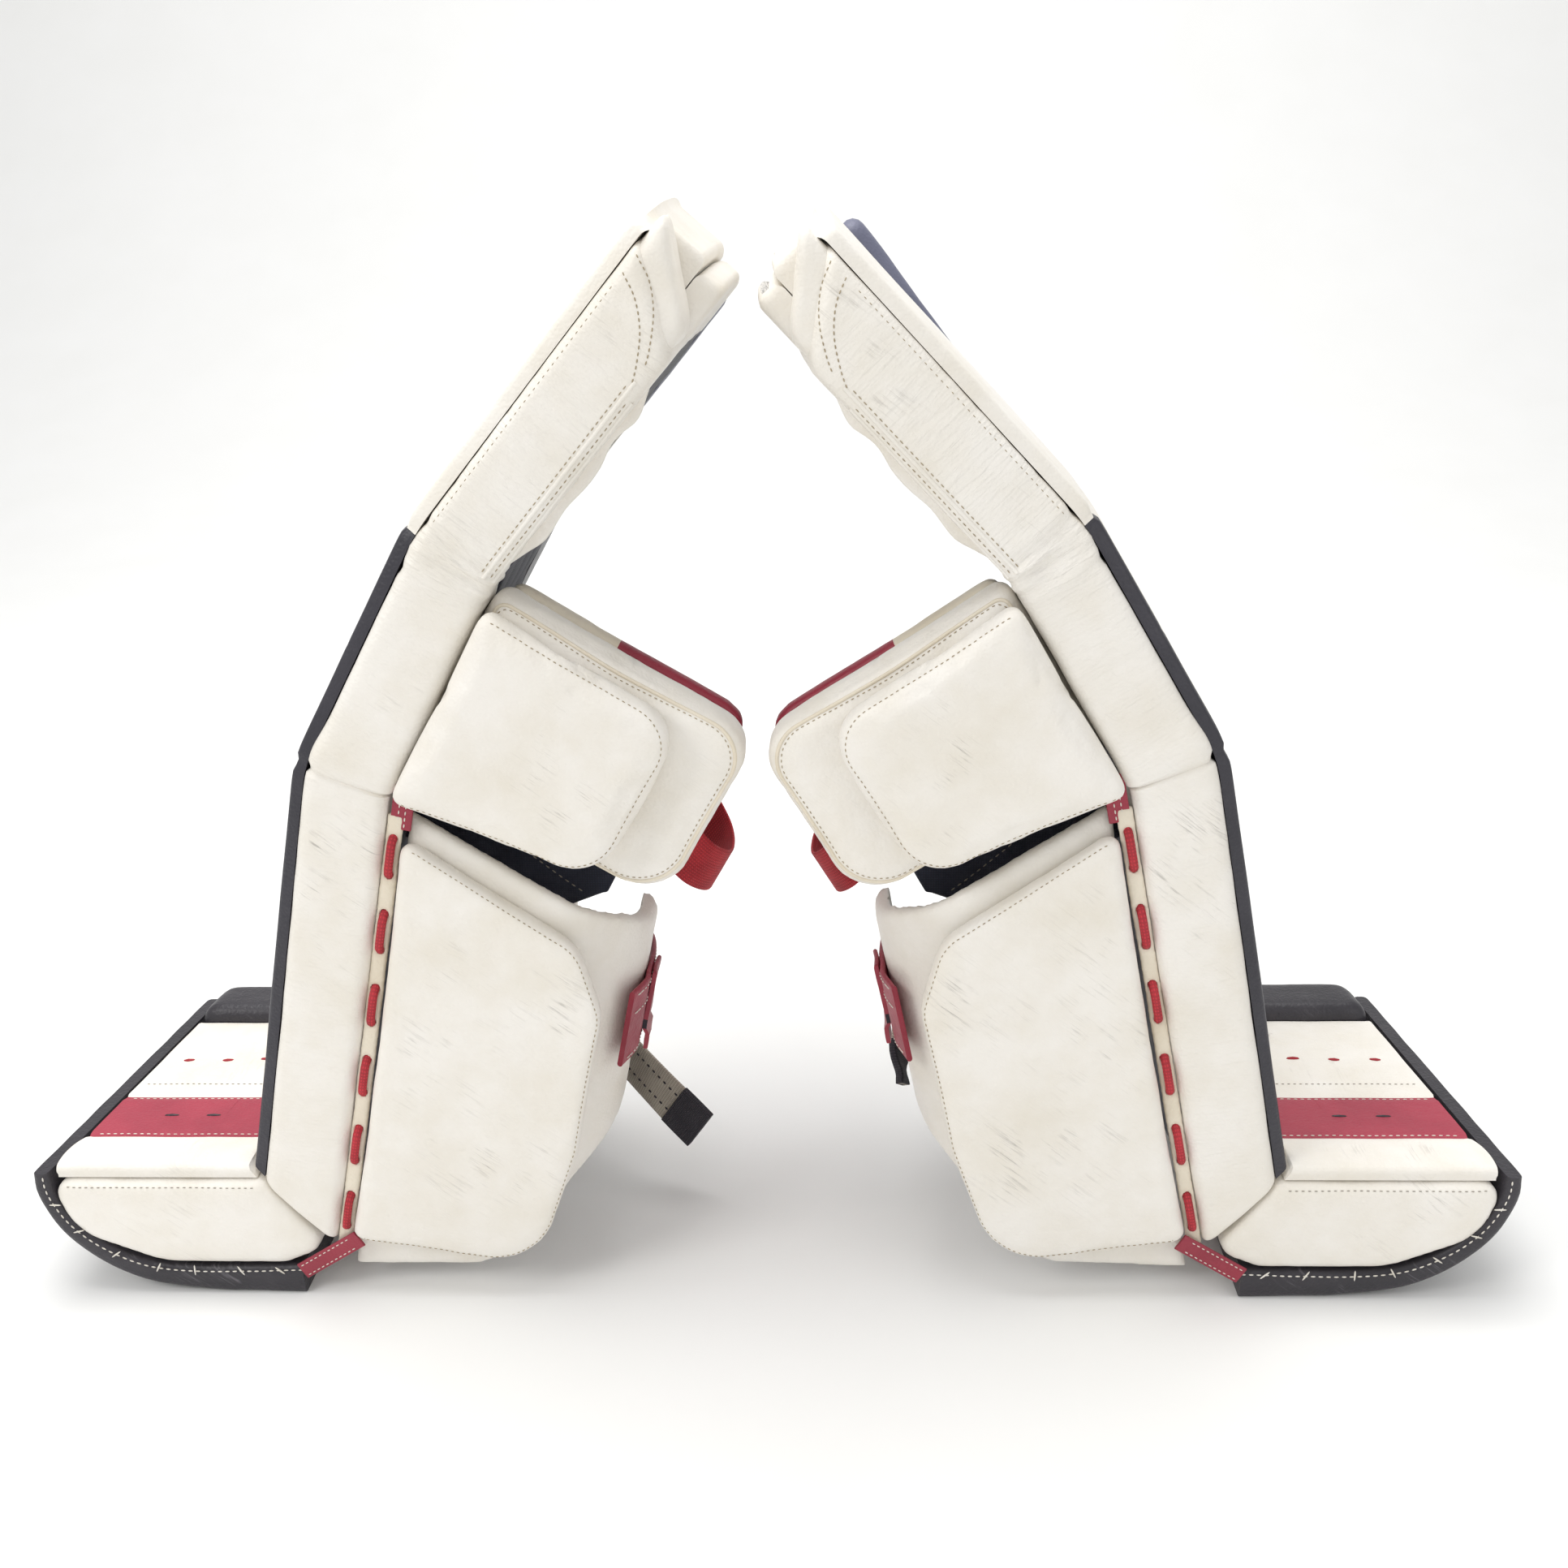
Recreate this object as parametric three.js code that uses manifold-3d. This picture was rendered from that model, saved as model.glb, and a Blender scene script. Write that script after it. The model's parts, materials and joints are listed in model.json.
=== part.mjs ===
// A pair of ice hockey goalkeeper leg pads, stood up with their knee blocks touching.
// Units are millimetres and +Z is up. Each pad is drawn in a frame of its own, with +X towards
// the toe and +Y from the inner side of the leg to the outer side. The left leg's pad is placed
// as drawn and the right leg's is its mirror image. Each pad is a chain of padded sections: a
// boot, a shin, a knee and a thigh section. They meet at flex breaks, where the foam is cut to a
// wedge so that the pad can bend. The origin is on the floor, under the middle of the pair.
import * as THREE from "three";
import { mergeVertices } from "three/addons/utils/BufferGeometryUtils.js";
import Module from "manifold-3d";

const wasm = await Module();
wasm.setup();

// ---- Driving dimensions -------------------------------------------------------------------

const CLEAR = 0.3; // gap between pieces that lie against each other
const PAD_WIDTH = 279; // across the face, 11 inches
const EDGE_WIDTH = 46; // inner edge roll, across the face
const EDGE_THICK = 58; // inner edge roll, front to back
const EDGE_ROUND = 9; // rounding of the edge roll's long corners
const OUTER_WIDTH = 48; // outer roll, across the face
const OUTER_RISE = 11; // the outer roll stands this far in front of the edge roll
const BOOT_RISE = 22; // and over the boot, this far above the side panel
const FACE_RISE = 9; // crown of the face in front of the edge roll
const FACE_INSET = 6; // the face starts this far in from the inner side
const LINER_THICK = 20; // padded lining behind the core
const BOARD_THICK = 2.5; // plastic stiffener in the thigh rise

const SHIN_LENGTH = 328;
const KNEE_LENGTH = 180;
const THIGH_LENGTH = 230; // inner edge roll of the thigh rise
const THIGH_CROWN = 20; // the middle of the thigh rise stands this far over its inner corner
const BOOT_LENGTH = 163; // ankle corner to toe, along the inner side
const BOOT_DEPTH = 73; // height of the boot's inner side panel
const TOE_SKEW = 0.1; // how far the toe slants back, in parts of the width
const SKEW_START = 60; // the boot is square behind this, in front of the ankle corner
const SOLE_THICK = 25; // black padded sole and binding under the boot
const TOE_BINDING = 11; // the same binding, over the toe

const BREAK_CLOSE = 5; // degrees that each knee or thigh break folds further back
const ANKLE_CLOSE = 5; // degrees that the toe turns down
const BREAK_AXIS_X = 25; // the flex axis lies this far in front of the edge roll
const ANKLE_AXIS_OUT = 14; // and in front of the inside corner at the ankle
const WEDGE_SPARE = 1; // degrees of wedge left when a break is fully folded

const FLAP_GAP = 0.6; // between a section's back and the flap hung on it
const LANDING_PROUD = 14; // the knee landing pad stands this far out of the edge roll's side
const LANDING_THICK = 25;
const LANDING_DEPTH = 150;
const BLOCK_THICK = 42; // knee block behind the landing pad
const BLOCK_DEPTH = 208;
const BLOCK_ROUND = 40;
const BLOCK_BEVEL = 7;
const SWING_TRIM = 7; // taken off the flaps' rear, so that they swing past each other
const BLOCK_LOW = 24; // height of the knee block's lower edge over the knee break
const BLOCK_HIGH = 169;
const PANEL_THICK = 17; // lining panel on the leg side of the knee block
const CRADLE_THICK = 12;
const CRADLE_DEPTH = 118;
const WING_THICK = 20; // flaps on the outer side of the leg
const KNEE_WING_DEPTH = 140;

const PLATE_PROUD = 4; // the calf plate stands this far out of the edge roll's side
const PLATE_THICK = 15;
const PLATE_DEPTH = 156;
const PLATE_ROUND = 34;
const WRAP_THICK = 13;
const WRAP_DEPTH = 176;
const WRAP_BEND = 52; // radius of the wrap's outside where it turns round the calf
const WRAP_REACH = 96; // how far across the leg the wrap reaches
const LACE_STRIP_WIDTH = 11;
const LACE_STRIP_THICK = 5;
const LACE_STRIP_SET_IN = 5; // from the edge roll's inner side
const STRIP_SHORT = 8; // the strip ends this far under the roll, clear of the knee flap
const LACE_DIAMETER = 6;
const LACE_PITCH = 58;
const LACE_STITCHES = 6;
const LACE_TOP = 290; // height of the uppermost lace stitch over the ankle corner

const WEB_WIDTH = 38; // red nylon knee strap
const WEB_THICK = 2.4;
const CALF_STRAP_WIDTH = 62;
const CALF_STRAP_THICK = 4;
const ELASTIC_WIDTH = 40; // grey elastic heel strap
const ELASTIC_THICK = 3;
const PAIR_GAP = 1.8; // between the two knee blocks

// How each pad stands, in degrees. The shin leans back from upright, and each section above it
// leans further back than the one below.
const PADS = [
  { side: "right", mirror: -1, shinLean: 12.2, kneeBend: 17.9, thighBend: 10.8, strapHangs: false },
  { side: "left", mirror: 1, shinLean: 11.3, kneeBend: 19.5, thighBend: 12.3, strapHangs: true },
];

const CURVE_STEPS = 2; // half the straight steps in each rounded corner
const STRAP_STEPS = 18;

// ---- Materials ----------------------------------------------------------------------------

const leather = (color) => new THREE.MeshStandardMaterial({ color, roughness: 0.55 });
const cloth = (color) => new THREE.MeshStandardMaterial({ color, roughness: 0.9 });
const WHITE_LEATHER = leather(0xf0ece4);
const BLACK_LEATHER = leather(0x2b2a33);
const MAROON_LEATHER = leather(0x8c2a3a);
const NAVY_NYLON = cloth(0x1d2233);
const RED_WEB = cloth(0xc0262c);
const RED_LACE = cloth(0xc4303a);
const GREY_ELASTIC = cloth(0x857c74);
const FOAM = cloth(0xd8d8d4);
const PLASTIC = new THREE.MeshStandardMaterial({ color: 0xe4e4e0, roughness: 0.4 });

// ---- Helpers ------------------------------------------------------------------------------

const rad = THREE.MathUtils.degToRad;
const vector = (x, y, z) => new THREE.Vector3(x, y, z);
// Where an outline's own x and y and its thickness go: the outline lies in x and y, in x and z,
// or in y and z.
const OUTLINE_XY = new THREE.Matrix4();
const OUTLINE_XZ = new THREE.Matrix4()
  .makeBasis(vector(1, 0, 0), vector(0, 0, 1), vector(0, -1, 0));
const OUTLINE_YZ = new THREE.Matrix4()
  .makeBasis(vector(0, 1, 0), vector(0, 0, 1), vector(1, 0, 0));

// A closed outline through points, each [x, y] or [x, y, corner radius].
function outline(points) {
  const corners = points.map(([x, y]) => new THREE.Vector2(x, y));
  const shape = new THREE.Shape();
  corners.forEach((at, i) => {
    const radius = points[i][2] ?? 0;
    const before = corners.at(i - 1).clone().sub(at);
    const after = corners[(i + 1) % corners.length].clone().sub(at);
    const half = Math.abs(before.angleTo(after)) / 2;
    const longest = Math.min(before.length(), after.length()) * 0.48;
    const tangent = Math.min(radius / Math.tan(half), longest);
    const start = at.clone().addScaledVector(before.normalize(), tangent);
    if (i === 0) shape.moveTo(start.x, start.y);
    else shape.lineTo(start.x, start.y);
    if (radius === 0) return;
    const end = at.clone().addScaledVector(after.normalize(), tangent);
    const reach = tangent / Math.cos(half);
    const centre = at.clone().addScaledVector(before.clone().add(after).normalize(), reach);
    const angle = (p) => Math.atan2(p.y - centre.y, p.x - centre.x);
    const turnsRight = before.cross(after) > 0;
    shape.absarc(centre.x, centre.y, tangent * Math.tan(half), angle(start), angle(end),
      turnsRight);
  });
  return shape;
}

// A prism from one place to another along the axis that its outline doesn't lie in.
function prism(shape, plane, from, to, bevel = 0) {
  const geometry = new THREE.ExtrudeGeometry(shape, {
    depth: to - from - 2 * bevel,
    bevelEnabled: bevel > 0,
    bevelThickness: bevel,
    bevelSize: bevel,
    bevelOffset: -bevel,
    bevelSegments: 2,
    curveSegments: CURVE_STEPS,
  });
  const start = plane === OUTLINE_XZ ? -to : from;
  return geometry.translate(0, 0, start + bevel).applyMatrix4(plane);
}

// Moves each vertex of a geometry.
function reshape(geometry, move) {
  const at = geometry.getAttribute("position");
  const v = new THREE.Vector3();
  for (let i = 0; i < at.count; i++) {
    move(v.fromBufferAttribute(at, i));
    at.setXYZ(i, v.x, v.y, v.z);
  }
  return geometry;
}

// A bar along z whose ends are slanting cuts, each { z, slope, across }: the height at the
// origin, and how fast it climbs with x and with y.
function bar(shape, bottom, top) {
  return reshape(prism(shape, OUTLINE_XY, 0, 1), (v) => {
    const end = v.z < 0.5 ? bottom : top;
    v.z = end.z + end.slope * v.x + (end.across ?? 0) * v.y;
  });
}

const box = (x0, x1, y0, y1, z0, z1) =>
  new THREE.BoxGeometry(x1 - x0, y1 - y0, z1 - z0)
    .translate((x0 + x1) / 2, (y0 + y1) / 2, (z0 + z1) / 2);

function solid(geometry) {
  const bare = geometry.index ? geometry.toNonIndexed() : geometry.clone();
  bare.deleteAttribute("normal");
  bare.deleteAttribute("uv");
  const merged = mergeVertices(bare, 1e-3);
  return new wasm.Manifold(new wasm.Mesh({
    numProp: 3,
    vertProperties: merged.getAttribute("position").array,
    triVerts: new Uint32Array(merged.index.array),
  }));
}

function geometryOf(manifold) {
  const mesh = manifold.getMesh();
  return new THREE.BufferGeometry()
    .setAttribute("position", new THREE.BufferAttribute(mesh.vertProperties, 3))
    .setIndex(new THREE.BufferAttribute(mesh.triVerts, 1));
}

const joined = (a, b) => geometryOf(solid(a).add(solid(b)));
const cut = (a, ...tools) =>
  geometryOf(tools.reduce((left, tool) => left.subtract(solid(tool)), solid(a)));

// A strap of even thickness that stands on edge along a plan curve through [x, y, lift] points,
// where lift raises the strap's middle over its own height.
function strap(points, thickness, width) {
  const curve = new THREE.CatmullRomCurve3(points.map(([x, y, z]) => vector(x, y, z)));
  const middle = curve.getSpacedPoints(STRAP_STEPS);
  const aside = middle.map((p, i) => {
    const along = middle[Math.min(i + 1, STRAP_STEPS)].clone()
      .sub(middle[Math.max(i - 1, 0)]);
    return vector(-along.y, along.x, 0).setLength(thickness / 2);
  });
  const ring = (i) => [[-1, -1], [1, -1], [1, 1], [-1, 1]].map(([side, up]) =>
    middle[i].clone().addScaledVector(aside[i], side).add(vector(0, 0, (up * width) / 2)));
  return sweep(middle.map((_, i) => ring(i)));
}

// A closed skin over rings of equal count, with flat ends.
function sweep(rings) {
  const count = rings[0].length;
  const positions = rings.flat().flatMap((p) => [p.x, p.y, p.z]);
  const faces = [];
  for (let i = 0; i < rings.length - 1; i++)
    for (let k = 0; k < count; k++) {
      const [a, b] = [i * count + k, i * count + ((k + 1) % count)];
      faces.push(a, b, b + count, a, b + count, a + count);
    }
  const last = (rings.length - 1) * count;
  for (let k = 1; k < count - 1; k++) {
    faces.push(0, k + 1, k);
    faces.push(last, last + k, last + k + 1);
  }
  const geometry = new THREE.BufferGeometry()
    .setAttribute("position", new THREE.Float32BufferAttribute(positions, 3))
    .setIndex(faces);
  return solid(geometry).volume() < 0 ? turnedRound(geometry) : geometry;
}

function turnedRound(geometry) {
  const faces = geometry.index.array;
  for (let i = 0; i < faces.length; i += 3)
    [faces[i + 1], faces[i + 2]] = [faces[i + 2], faces[i + 1]];
  return geometry;
}

// A frame at x, z in its parent, leaning back by degrees.
function frame(parent, name, x, y, z, lean) {
  const group = new THREE.Group();
  group.name = name;
  group.position.set(x, y, z);
  group.rotation.y = -rad(lean);
  parent.add(group);
  return group;
}

// ---- Flex breaks --------------------------------------------------------------------------

// The two slanting cuts and the axis of a break where the upper section leans back by bend.
function flexBreak(bend) {
  const half = rad(bend / 2);
  const slant = Math.tan(half + rad((BREAK_CLOSE + WEDGE_SPARE) / 2));
  const [x, rise] = [BREAK_AXIS_X * Math.cos(half), BREAK_AXIS_X * Math.sin(half)];
  return {
    axis: { x, rise },
    below: { z: rise - x * slant, slope: slant }, // measured from the lower section's end
    above: { z: x * slant - rise, slope: -slant }, // measured from the upper section's start
  };
}

// The shin's face and the boot's meet at the ankle in an inside corner, which the cut halves.
function ankleBreak(lean) {
  const half = rad(45 + lean / 2);
  const slope = 1 / Math.tan(half + rad((ANKLE_CLOSE + WEDGE_SPARE) / 2));
  const z = ANKLE_AXIS_OUT * (Math.cos(half) - Math.sin(half) * slope);
  return {
    shinCut: { z, slope },
    bootCutX: (height) => z + height * slope, // in the boot's level frame
  };
}

// ---- Cross-sections shared by the sections, in x and y -----------------------------------

const CORE_Y0 = EDGE_WIDTH + CLEAR;
const CORE_Y1 = PAD_WIDTH - OUTER_WIDTH - CLEAR;
const CORE_BACK = -(EDGE_THICK - LINER_THICK) + CLEAR;

const edgeRollOutline = outline([
  [0, 0, EDGE_ROUND],
  [0, EDGE_WIDTH],
  [-EDGE_THICK, EDGE_WIDTH, EDGE_ROUND / 2],
  [-EDGE_THICK, 0, EDGE_ROUND],
]);
const outerRollOutline = outline([
  [-EDGE_THICK, PAD_WIDTH - OUTER_WIDTH],
  [OUTER_RISE, PAD_WIDTH - OUTER_WIDTH, OUTER_WIDTH / 3],
  [OUTER_RISE, PAD_WIDTH, OUTER_WIDTH / 3],
  [-EDGE_THICK, PAD_WIDTH, EDGE_ROUND],
]);
// The core, with its face carried over the front of the edge roll.
const coreOutline = outline([
  [CLEAR, FACE_INSET],
  [FACE_RISE, FACE_INSET + 2, 2],
  [FACE_RISE, CORE_Y1],
  [CORE_BACK, CORE_Y1],
  [CORE_BACK, CORE_Y0],
  [CLEAR, CORE_Y0],
]);
const linerOutline = outline([
  [CORE_BACK - CLEAR, CORE_Y0],
  [CORE_BACK - CLEAR, CORE_Y1],
  [-EDGE_THICK, CORE_Y1, EDGE_ROUND / 2],
  [-EDGE_THICK, CORE_Y0, EDGE_ROUND / 2],
]);

// ---- Shin ---------------------------------------------------------------------------------

function addShin(shin, add, shinCut, top) {
  add(shin, "shin_core", bar(coreOutline, shinCut, top), FOAM);
  add(shin, "shin_edge_roll", bar(edgeRollOutline, shinCut, top), WHITE_LEATHER);
  add(shin, "shin_liner", bar(linerOutline, shinCut, top), NAVY_NYLON);
  const clearOfBoot = { z: shinCut.z + BOOT_RISE, slope: shinCut.slope };
  add(shin, "shin_outer_roll", bar(outerRollOutline, clearOfBoot, top), BLACK_LEATHER);
  const [strip, lace] = laceAndStrip(top.z - top.slope * EDGE_THICK);
  add(shin, "lace_strip", strip, WHITE_LEATHER);
  add(shin, "calf_lace", lace, RED_LACE);
}

// The strip that the calf flap is laced to, and the lace, woven out and in through its holes.
function laceAndStrip(stripTop) {
  const x = -EDGE_THICK - CLEAR - LACE_STRIP_WIDTH / 2;
  const y = LACE_STRIP_SET_IN + LACE_STRIP_THICK / 2;
  const half = LACE_STRIP_WIDTH / 2;
  const bottom = LACE_TOP - LACE_PITCH * LACE_STITCHES + LACE_PITCH / 4;
  const strip = box(x - half, x + half, LACE_STRIP_SET_IN,
    LACE_STRIP_SET_IN + LACE_STRIP_THICK, bottom, stripTop - STRIP_SHORT);
  const swing = (LACE_STRIP_THICK + LACE_DIAMETER) / 2 + CLEAR;
  const reach = LACE_PITCH * (LACE_STITCHES - 1) + LACE_PITCH / 2;
  const steps = LACE_STITCHES * 12;
  const middle = Array.from({ length: steps + 1 }, (_, i) => {
    const down = (i / steps) * reach;
    const wave = Math.cos((2 * Math.PI * (down - LACE_PITCH / 4)) / LACE_PITCH);
    // The wave's steep flanks carry the lace through the strip, and its flats lie along it.
    const flat = Math.tanh(3.2 * wave) / Math.tanh(3.2);
    return vector(x, y - swing * flat, LACE_TOP - down);
  });
  const tube = (radius) => sweep(middle.map((p, i) => {
    const along = middle[Math.min(i + 1, steps)].clone().sub(middle[Math.max(i - 1, 0)])
      .normalize();
    const across = vector(1, 0, 0);
    const up = vector(0, 0, 0).crossVectors(along, across);
    return Array.from({ length: 8 }, (_, k) => {
      const turn = (k * Math.PI) / 4;
      return p.clone().addScaledVector(across, radius * Math.cos(turn))
        .addScaledVector(up, radius * Math.sin(turn));
    });
  }));
  const radius = LACE_DIAMETER / 2;
  return [cut(strip, tube(radius + CLEAR)), tube(radius)];
}

// ---- Calf flap, on the inner side ---------------------------------------------------------

const CALF_FRONT = EDGE_THICK + 2 * CLEAR + LACE_STRIP_WIDTH; // behind the face, at the lacing

function addCalfFlap(flap, add) {
  // The frame of the flap is at the lacing, on the plate's outer face.
  const low = LACE_TOP - LACE_PITCH * LACE_STITCHES + LACE_PITCH / 4 + 8;
  const plate = outline([
    [0, low, 8],
    [0, LACE_TOP + 4, 8],
    [-PLATE_DEPTH * 0.84, LACE_TOP - 52, PLATE_ROUND],
    [-PLATE_DEPTH, LACE_TOP - 100, PLATE_ROUND],
    [-PLATE_DEPTH, 74, PLATE_ROUND],
    [-PLATE_DEPTH * 0.9, low + 6, PLATE_ROUND * 1.5],
  ]);
  add(flap, "calf_plate", prism(plate, OUTLINE_XZ, 0, PLATE_THICK, 4), WHITE_LEATHER);
  // The wrap goes straight back behind the plate and then curls round the calf.
  const y = PLATE_THICK + CLEAR;
  const curl = outline([
    [-2, y],
    [-2, y + WRAP_THICK],
    [-WRAP_DEPTH + WRAP_BEND, y + WRAP_THICK, WRAP_BEND - WRAP_THICK],
    [-WRAP_DEPTH + WRAP_THICK, y + WRAP_BEND, WRAP_BEND - WRAP_THICK],
    [-WRAP_DEPTH + WRAP_THICK, y + WRAP_REACH, 5],
    [-WRAP_DEPTH, y + WRAP_REACH, 5],
    [-WRAP_DEPTH, y + WRAP_BEND, WRAP_BEND],
    [-WRAP_DEPTH + WRAP_BEND, y, WRAP_BEND],
  ]);
  const side = outline([
    [0, low - 32],
    [0, LACE_TOP + 16],
    [-WRAP_DEPTH - 1, LACE_TOP - 54, 18],
    [-WRAP_DEPTH - 1, low + 100, 60],
    [-WRAP_DEPTH * 0.6, low - 8, 40],
  ]);
  const wrap = solid(prism(curl, OUTLINE_XY, low - 40, LACE_TOP + 20))
    .intersect(solid(prism(side, OUTLINE_XZ, 0, y + WRAP_REACH + 1)));
  add(flap, "calf_wrap", geometryOf(wrap), WHITE_LEATHER);
  // The strap is sewn to the wrap beside the plate and reaches round the back of the calf.
  const out = CLEAR + CALF_STRAP_THICK / 2;
  const height = LACE_TOP - 130;
  const route = [
    [-WRAP_DEPTH + WRAP_BEND * 0.1, y + WRAP_BEND * 0.5],
    [-WRAP_DEPTH - out, y + WRAP_BEND],
    [-WRAP_DEPTH - out, y + WRAP_REACH * 0.7],
    [-WRAP_DEPTH - out, y + WRAP_REACH],
    [-WRAP_DEPTH + 2, y + WRAP_REACH + 30],
    [-WRAP_DEPTH + 16, y + WRAP_REACH + 56],
  ].map(([x, across]) => [x, across, height]);
  add(flap, "calf_strap", strap(route, CALF_STRAP_THICK, CALF_STRAP_WIDTH), MAROON_LEATHER);
}

// ---- Calf wing, on the outer side ---------------------------------------------------------

function addCalfWing(wing, add, strapHangs) {
  const side = outline([
    [0, -6, 12],
    [0, 290, 16],
    [-104, 256, 34],
    [-118, 60, 30],
    [-84, -6, 34],
  ]);
  add(wing, "calf_wing", prism(side, OUTLINE_XZ, -WING_THICK, 0, 5), WHITE_LEATHER);
  // The elastic heel strap is sewn to the wing's inside and comes round behind the calf.
  const y = -WING_THICK - ELASTIC_THICK / 2 - CLEAR;
  const standing = [[-58, y, 74], [-100, y - 2, 70], [-142, y - 24, 62], [-176, y - 62, 52],
    [-214, y - 92, 38], [-252, y - 112, 20]];
  const hanging = [[-58, y, 104], [-104, y - 2, 104], [-150, y - 20, 100], [-184, y - 54, 88],
    [-198, y - 88, 66], [-200, y - 104, 44]];
  const route = strapHangs ? hanging : standing;
  add(wing, "heel_strap", strap(route, ELASTIC_THICK, ELASTIC_WIDTH), GREY_ELASTIC);
}

// ---- Knee section -------------------------------------------------------------------------

function addKnee(knee, add, bottom, top) {
  add(knee, "knee_core", bar(coreOutline, bottom, top), FOAM);
  add(knee, "knee_edge_roll", bar(edgeRollOutline, bottom, top), WHITE_LEATHER);
  add(knee, "knee_outer_roll", bar(outerRollOutline, bottom, top), BLACK_LEATHER);
  add(knee, "knee_liner", bar(linerOutline, bottom, top), NAVY_NYLON);
  // The cradle is a padded channel round the knee, hung on the liner's back.
  const back = -EDGE_THICK - CLEAR;
  const [y0, y1] = [LANDING_THICK + BLOCK_THICK + PANEL_THICK + 4, PAD_WIDTH - WING_THICK - 22];
  const channel = outline([
    [back, y0, 10],
    [back - CRADLE_DEPTH, y0, 5],
    [back - CRADLE_DEPTH, y0 + CRADLE_THICK, 5],
    [back - CRADLE_THICK, y0 + CRADLE_THICK, 10],
    [back - CRADLE_THICK, y1 - CRADLE_THICK, 10],
    [back - CRADLE_DEPTH, y1 - CRADLE_THICK, 5],
    [back - CRADLE_DEPTH, y1, 5],
    [back, y1, 10],
  ]);
  const low = { z: bottom.z + 9, slope: -0.15 };
  const high = { z: KNEE_LENGTH - 76, slope: 0.1 };
  add(knee, "knee_cradle", bar(channel, low, high), NAVY_NYLON);
}

// ---- Knee flap, on the inner side ---------------------------------------------------------

function addKneeFlap(flap, add) {
  const rear = -BLOCK_DEPTH;
  const landing = outline([
    [0, 10, 6],
    [0, 161, 6],
    [-LANDING_DEPTH, 154, 31],
    [-LANDING_DEPTH, 28, 35],
  ]);
  add(flap, "knee_landing_pad", prism(landing, OUTLINE_XZ, 0, LANDING_THICK, 5), WHITE_LEATHER);
  const block = outline([
    [0, BLOCK_LOW, 8],
    [0, BLOCK_HIGH, 8],
    [rear, BLOCK_HIGH - 6, BLOCK_ROUND - 10],
    [rear, BLOCK_LOW, BLOCK_ROUND],
  ]);
  const y = LANDING_THICK + CLEAR;
  // The rear is trimmed round the flap's hinge, so that the flap swings clear of its twin.
  const reach = BLOCK_DEPTH - SWING_TRIM;
  const swing = solid(new THREE.CylinderGeometry(reach, reach, 500, 96).rotateX(Math.PI / 2));
  const trimmed = (geometry) => geometryOf(solid(geometry).intersect(swing));
  const cushion = prism(block, OUTLINE_XZ, y, y + BLOCK_THICK, BLOCK_BEVEL);
  add(flap, "knee_block", trimmed(cushion), WHITE_LEATHER);
  const panel = outline([
    [-6, BLOCK_LOW + 6, 8],
    [-6, BLOCK_HIGH - 6, 8],
    [rear + 8, BLOCK_HIGH - 12, BLOCK_ROUND - 10],
    [rear + 8, BLOCK_LOW + 6, BLOCK_ROUND],
  ]);
  const inside = y + BLOCK_THICK + CLEAR;
  const lining = prism(panel, OUTLINE_XZ, inside, inside + PANEL_THICK, 2);
  add(flap, "knee_flap_panel", trimmed(lining), MAROON_LEATHER);
}

// ---- Knee wing, on the outer side ---------------------------------------------------------

function addKneeWing(wing, add) {
  const side = outline([
    [0, 16, 12],
    [0, 104, 12],
    [-KNEE_WING_DEPTH, 98, 34],
    [-KNEE_WING_DEPTH, 24, 34],
  ]);
  add(wing, "knee_wing", prism(side, OUTLINE_XZ, -WING_THICK, 0, 5), WHITE_LEATHER);
  // The web strap is sewn to the wing's inside and loops round the back of the leg.
  const y = -WING_THICK - WEB_THICK / 2 - CLEAR;
  const route = [
    [-84, y, 62],
    [-KNEE_WING_DEPTH, y - 1, 46],
    [-192, y - 12, 26],
    [-232, y - 44, 10],
    [-240, y - 86, 6],
    [-222, y - 118, 14],
    [-196, y - 130, 26],
  ];
  add(wing, "knee_strap", strap(route, WEB_THICK, WEB_WIDTH), RED_WEB);
}

// ---- Thigh rise ---------------------------------------------------------------------------

// A layer of the thigh rise between two depths, with its own outline of the rounded top.
function thighLayer(y0, y1, x0, x1, bottom, drop, bevel = 0) {
  const middle = (y0 + y1) / 2;
  const topAt = (y) => THIGH_LENGTH + THIGH_CROWN * Math.sin((Math.PI * (y + 30)) / 330) - drop;
  const low = -60;
  const shape = outline([
    [y0, low],
    [y0, topAt(y0), 8],
    [middle - (y1 - y0) / 5, topAt(middle), 20],
    [middle + (y1 - y0) / 5, topAt(middle), 20],
    [y1, topAt(y1), 8],
    [y1, low],
  ]);
  return reshape(prism(shape, OUTLINE_YZ, x0, x1, bevel), (v) => {
    if (v.z < low + 20) v.z = bottom.z + bottom.slope * v.x;
  });
}

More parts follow.
